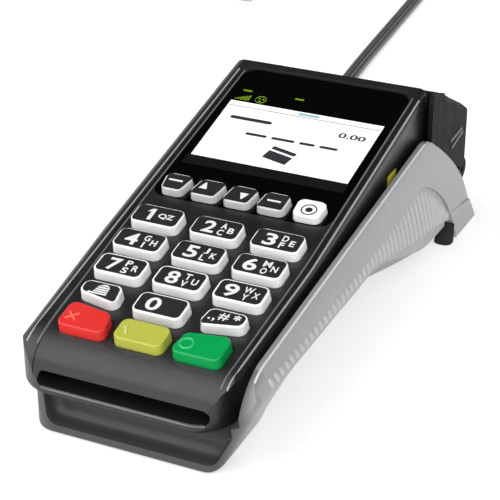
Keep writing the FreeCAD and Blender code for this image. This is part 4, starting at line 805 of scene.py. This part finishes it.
@dataclass
class Keypad:
    """Labels, legends and raised marks of the twenty keys."""

    deck: Deck = Deck()
    middle_u: float = -0.3
    pitch_u: float = 20.05
    fan: float = 0.3
    pitch_v: float = 12.65
    row_v: float = 40.6
    key_wide: float = 16.0
    key_deep: float = 8.9
    rims: tuple[float, ...] = (0.6, 0.65, 0.5, 0.45)
    side_rim: float = 0.55
    side_wide: float = 13.6
    side_deep: float = 8.0
    label_round: float = 1.6
    label_sink: float = 0.05
    label_proud: float = 0.05
    label_edge: float = 0.03
    print_thick: float = 0.03
    bold: float = 0.022
    digit_high: float = 5.5
    letter_high: float = 2.65
    entry_high: float = 0.36
    entry_edge: float = 0.08
    function_v: float = 84.3
    function_deep: float = 8.4
    function_top: float = 2.05
    function_round: float = 0.8
    dot_at: Point2 = (22.8, 83.5)
    letters: tuple[str, ...] = ("QZ", "ABC", "DEF", "GHI", "JKL", "MNO", "PRS", "TUV", "WXY")
    letter_spots: tuple[Point2, ...] = ((2.15, 1.35), (4.95, -0.35), (2.0, -1.85))
    digit_widths: dict[int, float] = field(
        default_factory=lambda: {0: 4.6, 4: 4.3, 6: 4.4, 9: 4.6, 5: 4.2})
    digit_shifts: dict[int, float] = field(default_factory=lambda: {6: -0.5, 9: -0.75, 4: -0.2})
    letter_widths: dict[str, float] = field(default_factory=lambda: {
        "I": 0.6, "J": 1.6, "L": 1.6, "F": 1.6, "E": 1.7, "M": 2.6, "W": 3.1})
    sheets: tuple[Point3, ...] = (
        (-20.9, 26.8, 6.2), (-20.2, 27.7, 4.6), (-20.1, 28.6, 4.3), (-20.0, 29.5, 4.0))

    @property
    def low(self) -> float:
        """Height of a print's underside on a full key."""
        return KeyTop.top + self.label_proud

    def label(self, key: str, face: KeyTop, rim: float, radius: float) -> None:
        """Black label on a key's top.

        Args:
            key: Name of the key.
            face: Its upper face.
            rim: Width of the key that shows round the label.
            radius: Radius of the label's corners.
        """
        piece = plate("label_" + key, face.corners(rim), radius, face.top - self.label_sink,
                      face.top + self.label_proud, self.label_edge)
        fit(piece, Finish.LABEL, key, self.deck.matrix())

    def legend(self, key: str, marks: Sequence[Piece],
               finish: Finish = Finish.LEGEND) -> None:
        """Marks of one key as one piece."""
        fit(join(marks, "legend_" + key), finish, key, self.deck.matrix())

    def patch(self, corners: Sequence[Point2], radius: float = 0.0) -> Piece:
        """Printed field on a full key's label."""
        return plate("patch", corners, radius, self.low, self.low + self.print_thick)

    def one(self, face: KeyTop) -> Piece:
        """The digit 1, a stem with its flag."""
        u, v = face.u - 2.0, face.v - 0.1
        stem = self.patch(rectangle((u, v), 1.3, self.digit_high))
        flag = self.patch([(u - 1.9, v + 1.0), (u - 0.6, v + 1.35), (u - 0.1, v + 2.75),
                           (u - 0.6, v + 2.75)])
        return join([stem, flag], "one")

    def digit_marks(self, number: int, face: KeyTop) -> list[Piece]:
        """Digit and its small letters.

        Args:
            number: The digit.
            face: The key's upper face.

        Returns:
            The marks, not joined yet.
        """
        printed = (self.low, self.print_thick, self.bold)
        if number == 1:
            return [self.one(face),
                    lettering(self.letters[0], (face.u + 3.0, face.v - 0.2), 2.6, 5.2, *printed)]
        wide = self.digit_widths.get(number, 4.1)
        u = face.u - 2.35 + self.digit_shifts.get(number, 0.0)
        marks = [lettering(str(number), (u, face.v - 0.15), self.digit_high, wide, *printed)]
        if number == 0:
            return marks
        for letter, (across, along) in zip(self.letters[number - 1], self.letter_spots):
            marks.append(lettering(letter, (face.u + across, face.v + along), self.letter_high,
                                   self.letter_widths.get(letter, 2.0), *printed))
        return marks

    def build_digits(self) -> None:
        """Digit keys."""
        for number in range(10):
            column = 0 if number == 0 else (number - 1) % 3 - 1
            line = -1 if number == 0 else 2 - (number - 1) // 3
            face = KeyTop(self.middle_u + column * (self.pitch_u + self.fan * (line - 1)),
                          self.row_v + line * self.pitch_v, self.key_wide, self.key_deep)
            key = "key_%d" % number
            self.label(key, face, self.rims[line + 1], self.label_round)
            self.legend(key, self.digit_marks(number, face))

    def pile_marks(self) -> list[Piece]:
        """Pile of sheets with a folded one on top, for the paper feed key."""
        pile = [self.patch(rectangle((u, v), wide, 0.62), 0.15) for u, v, wide in self.sheets]
        return pile + [self.patch([(-21.8, 30.1), (-18.2, 30.1), (-19.3, 30.9), (-20.3, 30.9)])]

    def sign_marks(self) -> list[Piece]:
        """Full stop, comma, hash and star, for the sign key."""
        printed = (self.low, self.print_thick)
        signs = [lettering(".", (15.4, 27.3), 0.8, 0.8, *printed),
                 lettering(",", (16.8, 27.1), 1.4, 0.8, *printed),
                 lettering("#", (19.4, 29.0), 3.2, 3.2, *printed, 0.01)]
        return signs + [settle(self.patch(rectangle((0, 0), 2.3, 0.5)), slanted((23.4, 29.7), turn))
                        for turn in (30, 90, 150)]

    def build_side_keys(self) -> None:
        """Paper feed and sign keys."""
        for key, u, shifts, draw in (
                ("key_paper", -20.15, ((0, 0.0, 2.6), (2, -1.3, 0.0)), self.pile_marks),
                ("key_sign", 19.55, ((1, 0.0, 2.6), (3, 1.3, 0.0)), self.sign_marks)):
            face = KeyTop(u, self.row_v - self.pitch_v, self.side_wide, self.side_deep, shifts)
            marks = draw()
            self.label(key, face, self.side_rim, self.label_round)
            self.legend(key, marks)

    def stroke(self, centre: Point2, long: float, thick: float, turn: float) -> Piece:
        """Short raised stroke on an entry key.

        Args:
            centre: Its middle on the deck.
            long: Its length.
            thick: Its thickness.
            turn: Its slant in degrees.

        Returns:
            The stroke.
        """
        low = KeyTop.top - self.label_sink
        piece = plate("stroke", rectangle((0, 0), long, thick), thick * 0.45, low,
                      low + self.entry_high, self.entry_edge)
        return settle(piece, slanted(centre, turn))

    def build_entry_keys(self) -> None:
        """Raised marks on the red, yellow and green keys."""
        cross = [self.stroke((-22.9, 15.6), 4.6, 0.6, turn) for turn in (42, -42)]
        self.legend("key_cancel", cross, Finish.MARK_RED)
        bar = [self.stroke((-5.1, 15.1), 3.6, 0.7, -62), self.stroke((-5.7, 16.4), 1.3, 0.6, 40)]
        self.legend("key_clear", bar, Finish.MARK_YELLOW)
        circle = [ring("circle", (14.1, 15.6), 2.0, 0.6, KeyTop.top)]
        self.legend("key_enter", circle, Finish.MARK_GREEN)

    def build_function_keys(self) -> None:
        """Labels and marks of the row below the window."""
        top = self.function_top
        low = top + self.label_proud
        rows = (
            ("key_f1", -23.7, 7.0, -1.1, 1.9, rectangle((-23.8, 84.9), 4.9, 0.8), 0.3),
            ("key_up", -12.9, 9.3, 1.6, 1.7,
             [(-15.1, 83.5), (-12.3, 83.5), (-13.5, 86.7), (-13.9, 86.7)], 0.1),
            ("key_down", -1.4, 9.2, 1.3, 1.4,
             [(0.1, 82.1), (0.5, 82.1), (1.8, 85.2), (-1.2, 85.2)], 0.1),
            ("key_f4", 10.4, 9.6, 1.1, 0.1, rectangle((10.7, 84.3), 4.7, 0.8), 0.3),
        )
        for key, u, wide, left, right, mark, radius in rows:
            face = KeyTop(u, self.function_v, wide, self.function_deep,
                          ((3, left, 0.0), (2, right, 0.0)), top)
            sign = plate("sign", mark, radius, low, low + self.print_thick)
            self.label(key, face, self.side_rim, self.function_round)
            self.legend(key, [sign])
        dot = [disc("dot", self.dot_at, 1.15, top - self.label_sink, low),
               ring("circle", self.dot_at, 2.4, 0.42, top)]
        self.legend("key_dot", dot, Finish.LABEL)

    def build(self) -> None:
        """All labels and marks."""
        self.build_digits()
        self.build_side_keys()
        self.build_entry_keys()
        self.build_function_keys()


# Screen

@dataclass
class Screen:
    """Picture that the display shows through the window."""

    deck: Deck = Deck()
    half: float = 27.9
    low_v: float = 102.3
    bar_v: float = 135.2
    frame_v: float = 97.4
    level: float = -0.3
    layer: float = 0.03
    sink: float = 0.02
    hint: tuple[Point2, ...] = ((-11.0, 7.6), (-1.3, 8.2), (7.3, 5.4), (14.9, 6.4))
    card_at: Point2 = (1.0, 109.7)
    card_turn: float = -13.0
    bars_at: Point2 = (-26.8, 136.4)
    bar_pitch: float = 0.9
    bar_rise: float = 0.5
    globe_at: Point2 = (-18.0, 138.0)
    lamps_u: tuple[float, ...] = (-24.6, -5.3)

    def sheet(self, name: str, corners: Sequence[Point2], order: int, finish: Finish,
              radius: float = 0.0) -> None:
        """One flat field of the picture.

        Args:
            name: Name of the piece.
            corners: Its four corners.
            order: Its place in the pile of fields, from the glass up.
            finish: Its finish.
            radius: Radius of its corners.
        """
        piece = plate(name, corners, radius, self.level - self.sink,
                      self.level + self.layer * order)
        fit(piece, finish, "base", self.deck.matrix())

    def patch(self, centre: Point2, wide: float, deep: float, radius: float) -> Piece:
        """Small field three layers high, to be joined into a sign."""
        return plate("patch", rectangle(centre, wide, deep), radius, self.level,
                     self.level + 3 * self.layer)

    def build(self) -> None:
        """The whole picture."""
        half, ink = self.half, Finish.PICTURE_INK
        edge = rectangle((0, (self.frame_v + self.low_v) / 2), 2 * half + 1.0,
                         self.low_v - self.frame_v)
        self.sheet("picture_frame", edge, 1, Finish.PICTURE_EDGE)
        self.sheet("picture_field", [(0.6 - half, self.low_v), (half, self.low_v),
                                     (half, self.bar_v), (-half, self.bar_v)], 2, Finish.PICTURE)
        self.sheet("picture_rule", rectangle((0, 132.4), 2 * half - 0.4, 0.36), 4,
                   Finish.PICTURE_LINE)
        self.sheet("picture_title", rectangle((1.5, 133.8), 7.4, 1.3), 4, Finish.PICTURE_TITLE, 0.4)
        self.sheet("picture_word", rectangle((-16.3, 126.0), 15.2, 1.7), 4, ink, 0.8)
        for number, (middle, wide) in enumerate(self.hint):
            self.sheet("picture_hint_%d" % number, rectangle((middle, 118.3), wide, 1.3), 4, ink,
                       0.6)
        amount = lettering("0.00", (20.0, 126.3), 2.8, 9.4, self.level + 2 * self.layer, 0.04)
        amount.name = "picture_amount"
        fit(amount, ink, "base", self.deck.matrix())
        self.build_card_mark()
        self.build_signs()

    def build_card_mark(self) -> None:
        """Small card sign in two parts."""
        turned = slanted(self.card_at, self.card_turn)
        parts = [settle(self.patch((0, v), 9.2, deep, 0.4), turned)
                 for v, deep in ((2.9, 1.7), (-1.0, 4.3))]
        fit(join(parts, "picture_card"), Finish.PICTURE_INK, "base", self.deck.matrix())

    def build_signs(self) -> None:
        """Signal bars, round sign and two lamps."""
        (bar_u, bar_v), (globe_u, globe_v) = self.bars_at, self.globe_at
        signs = []
        for step in range(6):
            high = self.bar_rise * (step + 1)
            signs.append(self.patch((bar_u + self.bar_pitch * step, bar_v + high / 2), 0.55, high,
                                    0.0))
        signs.append(ring("globe", self.globe_at, 1.9, 0.22, self.level + 2 * self.layer))
        signs += [disc("spot", (globe_u + 0.9 * math.cos(turn), globe_v + 0.9 * math.sin(turn)),
                       0.4, self.level, self.level + 3 * self.layer) for turn in (0.4, 2.5, 4.6)]
        signs += [self.patch((u, 141.9), 3.3, 0.75, 0.3) for u in self.lamps_u]
        fit(join(signs, "picture_signs"), Finish.PICTURE_GREEN, "base", self.deck.matrix())


# Casing details

class Surface:
    """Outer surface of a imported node, for pieces that lie on it."""

    reach = 0.2

    def __init__(self, node: str) -> None:
        """Read the node's triangles."""
        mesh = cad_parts[node].data
        self.tree = BVHTree.FromPolygons([vertex.co[:] for vertex in mesh.vertices],
                                         [polygon.vertices[:] for polygon in mesh.polygons])

    def follow(self, lines: Sequence[Line]) -> list[Vector]:
        """Points where lines from outside meet the surface.

        Args:
            lines: A point of each line, its direction and the depth to go on below the
                surface in millimetres.

        Returns:
            The points, without those of lines that pass by.
        """
        points = []
        for near, way, depth in lines:
            way = way.normalized()
            hit = self.tree.ray_cast(near - way * self.reach, way)[0]
            if hit:
                points.append(hit + way * (depth * MM))
        return points


@dataclass
class GripRibs:
    """Slanted ribs on the outer side of the grey wing, lighter than it as a painted highlight."""

    pitch: float = 3.47
    count: int = 44
    first_y: float = 13.6
    lean: float = 0.36
    lean_z: float = 20.0
    radius: float = 1.42
    sink: float = 0.82
    end_sink: float = 1.52
    margin: float = 0.7
    shortest: float = 1.2
    steps: int = 7
    upper: tuple[Point2, ...] = (
        (13, 27.0), (29, 27.1), (38, 27.3), (52, 27.8), (66, 28.2), (79, 28.6), (92, 29.3),
        (106, 29.5), (118, 30.0), (128, 31.4), (136, 32.0), (146, 27.7), (153, 22.0), (161, 15.2),
        (166, 9.7))
    lower: tuple[Point2, ...] = (
        (13, 23.9), (60, 23.9), (95, 23.8), (107, 20.0), (116.5, 17.0), (131, 13.0), (146.5, 10.4),
        (160, 8.0), (170, 7.0))

    @staticmethod
    def level(line: Sequence[Point2], y: float) -> float:
        """Height of a broken line at a place along it.

        Args:
            line: Its corners, from the front.
            y: The place.

        Returns:
            The height, held beyond both ends.
        """
        for (y0, z0), (y1, z1) in zip(line, line[1:]):
            if y0 <= y <= y1:
                return z0 + (z1 - z0) * (y - y0) / (y1 - y0)
        return line[0][1] if y < line[0][0] else line[-1][1]

    def rib(self, surface: Surface, y: float) -> Optional[Piece]:
        """One rib that leans back as it goes down and runs out at both ends.

        Args:
            surface: The casing.
            y: Place of its upper end.

        Returns:
            The rib, or nothing where the grip is too low for one.
        """
        top = self.level(self.upper, y) - self.margin
        low = self.level(self.lower, y + (top - self.lean_z) * self.lean) + self.margin
        if top - low < self.shortest:
            return None
        lines = []
        for step in range(self.steps):
            z = top + (low - top) * step / (self.steps - 1)
            depth = self.end_sink if step in (0, self.steps - 1) else self.sink
            lines.append((place(OUTSIDE_X, y + (top - z) * self.lean, z), LEFTWARD, depth))
        points = surface.follow(lines)
        return round_bar("rib", points, self.radius) if len(points) > 3 else None

    def build(self, surface: Surface) -> None:
        """Lay every rib on the wing."""
        bars = [self.rib(surface, self.first_y + index * self.pitch) for index in range(self.count)]
        # The ribs' lighter grey is a painted highlight
        fit(join([bar for bar in bars if bar], "grip_ribs"), Finish.RIB)


@dataclass
class EdgeBeads:
    """Fine rounded edges, lighter as painted highlights: the wing's crest, the front lip and both
    edges of the deck's rims.
    """

    radius: float = 0.36
    sink: float = 0.16
    step: float = 9.0
    rear_y: float = 150.0
    straight_y: float = 58.0
    nose_y: float = 14.0
    nose_widening: float = 6.0
    above_z: float = 50.0
    wing_x: float = 38.0
    wing_z: float = 60.0
    wing_stops: tuple[float, ...] = (8.2, 9.2, 10.4, 11.8, 13.5, 16, 20, 26, 34, 46, 60, 76, 92,
                                     108, 122, 134, 141, 145, 147.5)
    lip_half: int = 26
    lip_y: float = -20.0
    lip_z: float = 14.65
    lip_radius: float = 0.42
    lip_sink: float = 0.3
    nose_sums: tuple[float, ...] = (36.0, 33.5, 31.0)
    # The rims' beads are lighter than the black housing: painted highlights
    rims: tuple[tuple[str, Finish, tuple[tuple[int, float, float], ...]], ...] = (
        ("deck_rim_outer", Finish.RIM, ((1, 30.5, 0.048), (-1, 33.2, 0.0))),
        ("deck_rim_inner", Finish.RIM_INNER, ((1, 28.5, 0.047), (-1, 29.6, 0.026))))

    def rim_lines(self, side: int, start: float, slope: float) -> list[Line]:
        """Lines that meet the housing along one edge of the deck's rim.

        Args:
            side: 1 for the right rim, -1 for the left one.
            start: Distance of the edge from the middle at the front lip.
            slope: Its widening towards the display.

        Returns:
            The lines, from the display to the nose.
        """
        count = int((self.rear_y - self.nose_y) / self.step)
        lines = []
        for index in range(count, -1, -1):
            y = self.nose_y + (self.rear_y - self.nose_y) * index / count
            x = side * (start + slope * min(y, self.straight_y))
            lines.append((place(x, y, self.above_z), DOWN, self.sink))
        for total in self.nose_sums:
            near = place(side * (start + slope * self.nose_widening), total / 2, total / 2)
            lines.append((near, REARWARD + DOWN, self.sink))
        return lines

    def build(self, housing: Surface, casing: Surface) -> None:
        """Lay the crest's bead, the lip's bead and the four beads of the rims.

        Args:
            housing: Surface of the upper housing.
            casing: Surface of the lower casing.
        """
        crest = casing.follow([(place(self.wing_x, y, self.wing_z), DOWN, self.sink)
                               for y in self.wing_stops])
        # The crest's bead is lighter than the casing: a painted highlight
        fit(round_bar("wing_crest_bead", crest, self.radius), Finish.CREST)
        front = housing.follow([(place(x, self.lip_y, self.lip_z), REARWARD, self.lip_sink)
                                for x in range(-self.lip_half, self.lip_half + 1, 2)])
        # The lip's bead is lighter than the housing: a painted highlight
        fit(round_bar("lip_bead", front, self.lip_radius), Finish.RIM_INNER)
        for name, finish, edges in self.rims:
            bars = [round_bar("rim", housing.follow(self.rim_lines(*edge)), self.radius)
                    for edge in edges]
            fit(join(bars, name), finish)


@dataclass
class CheekRidges:
    """Two short finger ridges on the rear cover's right cheek, lighter than it as a painted
    highlight.
    """

    radius: float = 0.5
    steps: int = 4
    ends: tuple[tuple[Point2, Point2], ...] = (((172.7, 34.8), (184.8, 35.4)),
                                               ((174.3, 31.8), (186.3, 33.7)))

    def build(self, surface: Surface) -> None:
        """Lay both ridges on the cheek."""
        bars = []
        for (y0, z0), (y1, z1) in self.ends:
            lines = [(place(OUTSIDE_X, y0 + (y1 - y0) * step / self.steps,
                            z0 + (z1 - z0) * step / self.steps), LEFTWARD, 0.0)
                     for step in range(self.steps + 1)]
            bars.append(round_bar("ridge", surface.follow(lines), self.radius))
        # The ridges are lighter than the cover: a painted highlight
        fit(join(bars, "cheek_ridges"), Finish.RIM_INNER, "cover")


# Feet

@dataclass
class Feet:
    """Rubber feet, the pad of the flared foot sloping back to the foot."""

    pad_y: float = 155.0
    pad_end_y: float = 165.3
    pad_high: float = 9.0
    slope_back: float = 6.6
    lower: float = 0.80

    def build(self) -> None:
        """Shape the feet from their solids and let them stand for these."""
        piece = add_object("feet_rubber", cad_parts["rubber_feet"].data.copy())
        with edit(piece, "VERT"):
            bpy.ops.mesh.remove_doubles(threshold=0.00001)
        pad_y, wall_y = (place(0, y, 0).y for y in (self.pad_y, self.pad_end_y))
        for vertex in piece.data.vertices:
            if vertex.co.y > pad_y:
                share = vertex.co.z / (self.pad_high * MM)
                back = min(wall_y, vertex.co.y + self.slope_back * MM * share)
                vertex.co.y = max(vertex.co.y, back)
                vertex.co.z *= 1 - (1 - self.lower) * share
        fit(piece, Finish.RUBBER)
        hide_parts("rubber_feet")


# Cord

@dataclass
class Cord:
    """Twin cord: a free stretch, then a put-away coil."""

    strand: float = 3.4
    spacing: float = 3.3
    web: float = 0.95
    exit: Point3 = (-30.0, 201.8, 3.4)
    route: tuple[Point3, ...] = (
        (-30.0, 219.0, 3.4), (-34.2, 240.0, 1.75), (-40.6, 259.0, 1.72), (-47.2, 278.0, 1.7),
        (-59.7, 432.0, 1.7))
    coil_radius: float = 40.0
    coil_gap: float = 0.7
    coil_turns: int = 2
    coil_steps: int = 8
    lead_in: float = 20.0
    lift: float = 3.9
    tail: float = 16.0
    tail_drop: float = 0.4
    plug_end: float = 14.0
    plug_aside: float = -2.0
    plug_z: float = 4.0

    def coil_points(self) -> list[Vector]:
        """Corners of the coil, as in the source of the solids."""
        entry = Vector(self.route[-1])
        heading = (entry - Vector(self.route[-2])).normalized()
        left = Vector((-heading.y, heading.x, 0.0))
        centre = entry + heading * self.lead_in + left * self.coil_radius
        pitch = self.strand + self.spacing + self.coil_gap
        count_in = int((self.coil_turns + 0.5) * self.coil_steps)
        count_out = self.coil_turns * self.coil_steps
        start = math.atan2(-left.y, -left.x)
        points = []
        for index in range(count_in + count_out + 1):
            angle = start + 2 * math.pi * (index + 0.5) / self.coil_steps
            inward = min(index, count_in)
            outward = max(index - count_in, 0)
            radius = self.coil_radius + pitch * (outward - inward) / self.coil_steps
            half = self.coil_steps / 2
            share = min(1.0, max(0.0, (index - count_in + half) / half))
            rise = self.lift * share * share * (3 - 2 * share)
            spread = radius / math.cos(math.pi / self.coil_steps)
            points.append(Vector((centre.x + spread * math.cos(angle),
                                  centre.y + spread * math.sin(angle), entry.z + rise)))
        way = (points[-1] - points[-2]).normalized()
        tail = points[-1] + way * self.tail
        tail.z = points[-1].z - self.tail_drop
        finish = tail + way * self.plug_end + Vector((-way.y, way.x, 0)) * self.plug_aside
        finish.z = self.plug_z
        return [entry] + points[:-1] + [tail, finish]

    def section(self) -> Piece:
        """Outline of the two strands with the web between them."""
        data = bpy.data.curves.new("cord_section", "CURVE")
        data.dimensions = "2D"
        radius = self.strand / 2
        half = self.spacing / 2
        reach = math.asin(self.web / 2 / radius)
        outline = []
        for side in (1, -1):
            for step in range(17):
                angle = -(math.pi - reach) + 2 * (math.pi - reach) * step / 16
                outline.append((side * (half + radius * math.cos(angle)),
                                side * radius * math.sin(angle)))
        spline = data.splines.new("POLY")
        spline.points.add(len(outline) - 1)
        for point, (across, up) in zip(spline.points, outline):
            point.co = (across * MM, up * MM, 0.0, 1.0)
        spline.use_cyclic_u = True
        return add_object("cord_section", data)

    def build(self) -> None:
        points = [Vector(point) for point in (self.exit, *self.route[:-1])] + self.coil_points()
        piece = smooth_path("twin_cord", [place(*point) for point in points], 8)
        piece.data.twist_mode = "Z_UP"
        line = bpy.data.meshes.new_from_object(piece)
        bpy.data.meshes.remove(line)
        outline = self.section()
        piece.data.bevel_mode = "OBJECT"
        piece.data.bevel_object = outline
        piece = to_mesh(piece)
        bpy.data.objects.remove(outline)
        bpy.ops.object.shade_smooth_by_angle(angle=math.radians(40))
        fit(piece, Finish.CORD)
        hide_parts("cord_stretch", "cord_coil")


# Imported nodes

@dataclass
class Terminal:
    """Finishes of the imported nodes."""

    finishes: dict[Finish, tuple[str, ...]] = field(default_factory=lambda: {
        Finish.HOUSING: ("upper_housing",),
        Finish.COVER: ("paper_cover",),
        Finish.CASING: ("lower_casing", "bottom_door"),
        Finish.WINDOW: ("display_window",),
        Finish.KEY_WHITE: (*("key_%d" % number for number in range(10)), "key_paper", "key_sign",
                           "key_dot"),
        Finish.KEY_GREY: ("key_f1", "key_up", "key_down", "key_f4"),
        Finish.KEY_RED: ("key_cancel",),
        Finish.KEY_YELLOW: ("key_clear",),
        Finish.KEY_GREEN: ("key_enter",),
        Finish.RUBBER: ("rubber_feet", "platen_roller"),
        Finish.KEY_MAT: ("key_mat",),
        Finish.INNER: ("chip_card_reader", "printer_frame", "buzzer"),
        Finish.GEAR: ("platen_gear", "drive_gear"),
        Finish.BOARD: ("main_board", "antenna_loop"),
        Finish.STEEL: ("backup_cell", "head_spring", "printer_motor", "cover_hinge_pin", "tear_bar",
                       "casing_screws", "thermal_head"),
        Finish.GOLD: ("chip_contacts", "motor_gear"),
        Finish.HEAD: ("magnetic_head",),
        Finish.PAPER: ("paper_roll",),
        Finish.CLEAR: ("cord_plug", "display_module"),
        Finish.CORD: ("cord_gland",),
    })

    def build(self) -> None:
        """Dress every node that shows."""
        for finish, nodes in self.finishes.items():
            for node in nodes:
                dress(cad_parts[node], finish)
                LOG.info("node %s in %s", node, finish.name)


# Room

@dataclass
class Room:
    """Pale floor, soft lights and the camera."""

    camera_at: Point3 = (195.6, -334.1, 264.0)
    aim: Point3 = (1.0, 85.0, 25.0)
    lens: float = 117.07
    sensor: float = 36.0
    horizon: float = 0.95
    zenith: float = 0.03
    fade: Point2 = (0.12, 0.52)
    backdrop: float = 0.8
    floor_size: float = 12.0
    floor_z: float = -0.0001
    lamps: tuple[tuple[str, Colour, float, float], ...] = (
        ("left", (-0.45, -0.35, 0.82), 1.8, 60.0), ("right", (0.55, -0.35, 0.76), 1.4, 60.0),
        ("front", (0.05, -0.92, 0.38), 1.1, 70.0))

    def light(self, name: str, toward: Colour, power: float, spread: float) -> None:
        """Broad soft light from far away.

        Args:
            name: Name of the light.
            toward: Direction from the terminal to the light.
            power: Strength.
            spread: Its width in degrees.
        """
        data = bpy.data.lights.new(name, "SUN")
        data.energy = power
        data.angle = math.radians(spread)
        lamp = add_object(name, data)
        lamp.rotation_euler = (-Vector(toward)).to_track_quat("-Z", "Y").to_euler()

    def floor(self) -> None:
        """Seamless pale floor."""
        deselect()
        bpy.ops.mesh.primitive_plane_add(size=self.floor_size, location=(0.0, 0.0, self.floor_z))
        piece = bpy.context.object
        piece.name = "floor"
        dress(piece, Finish.FLOOR)

    def sky(self) -> None:
        """White studio walls under a dim ceiling."""
        world = bpy.data.worlds.new("studio")
        bpy.context.scene.world = world
        studio = Nodes(world)
        studio.tree.nodes.remove(studio.tree.nodes["Background"])
        way = studio.axes("Generated")
        dimming = studio.run(way["Z"], self.fade, (self.horizon, self.zenith), soft=True)
        walls, plain = (studio.node("ShaderNodeBackground", {
            "Color": (tone, tone, tone, 1.0), "Strength": power})
            for tone, power in ((1.0, dimming), (self.backdrop, 1.0)))
        rays = studio.node("ShaderNodeLightPath", {}).outputs
        mixed = studio.node("ShaderNodeMixShader", {
            "Fac": rays["Is Camera Ray"], 1: walls.outputs[0], 2: plain.outputs[0]})
        out = studio.tree.nodes["World Output"].inputs["Surface"]
        studio.tree.links.new(mixed.outputs[0], out)

    def camera(self) -> None:
        """Camera at the height of somebody standing at the counter."""
        data = bpy.data.cameras.new("camera")
        data.lens = self.lens
        data.sensor_width = self.sensor
        camera = add_object("camera", data)
        camera.location = place(*self.camera_at)
        sight = place(*self.aim) - camera.location
        camera.rotation_euler = sight.to_track_quat("-Z", "Y").to_euler()
        bpy.context.scene.camera = camera

    def build(self) -> None:
        """Floor, studio, lights and camera."""
        self.floor()
        self.sky()
        for lamp in self.lamps:
            self.light(*lamp)
        self.camera()
        bpy.context.scene.view_settings.view_transform = "Standard"


def main() -> None:
    """Build every sub-assembly in order."""
    logging.basicConfig(level=logging.INFO, format="%(name)s: %(message)s")
    Terminal().build()
    Keypad().build()
    Screen().build()
    casing = Surface("lower_casing")
    GripRibs().build(casing)
    EdgeBeads().build(Surface("upper_housing"), casing)
    CheekRidges().build(Surface("paper_cover"))
    Feet().build()
    Cord().build()
    Room().build()


if __name__ == "__main__":
    main()
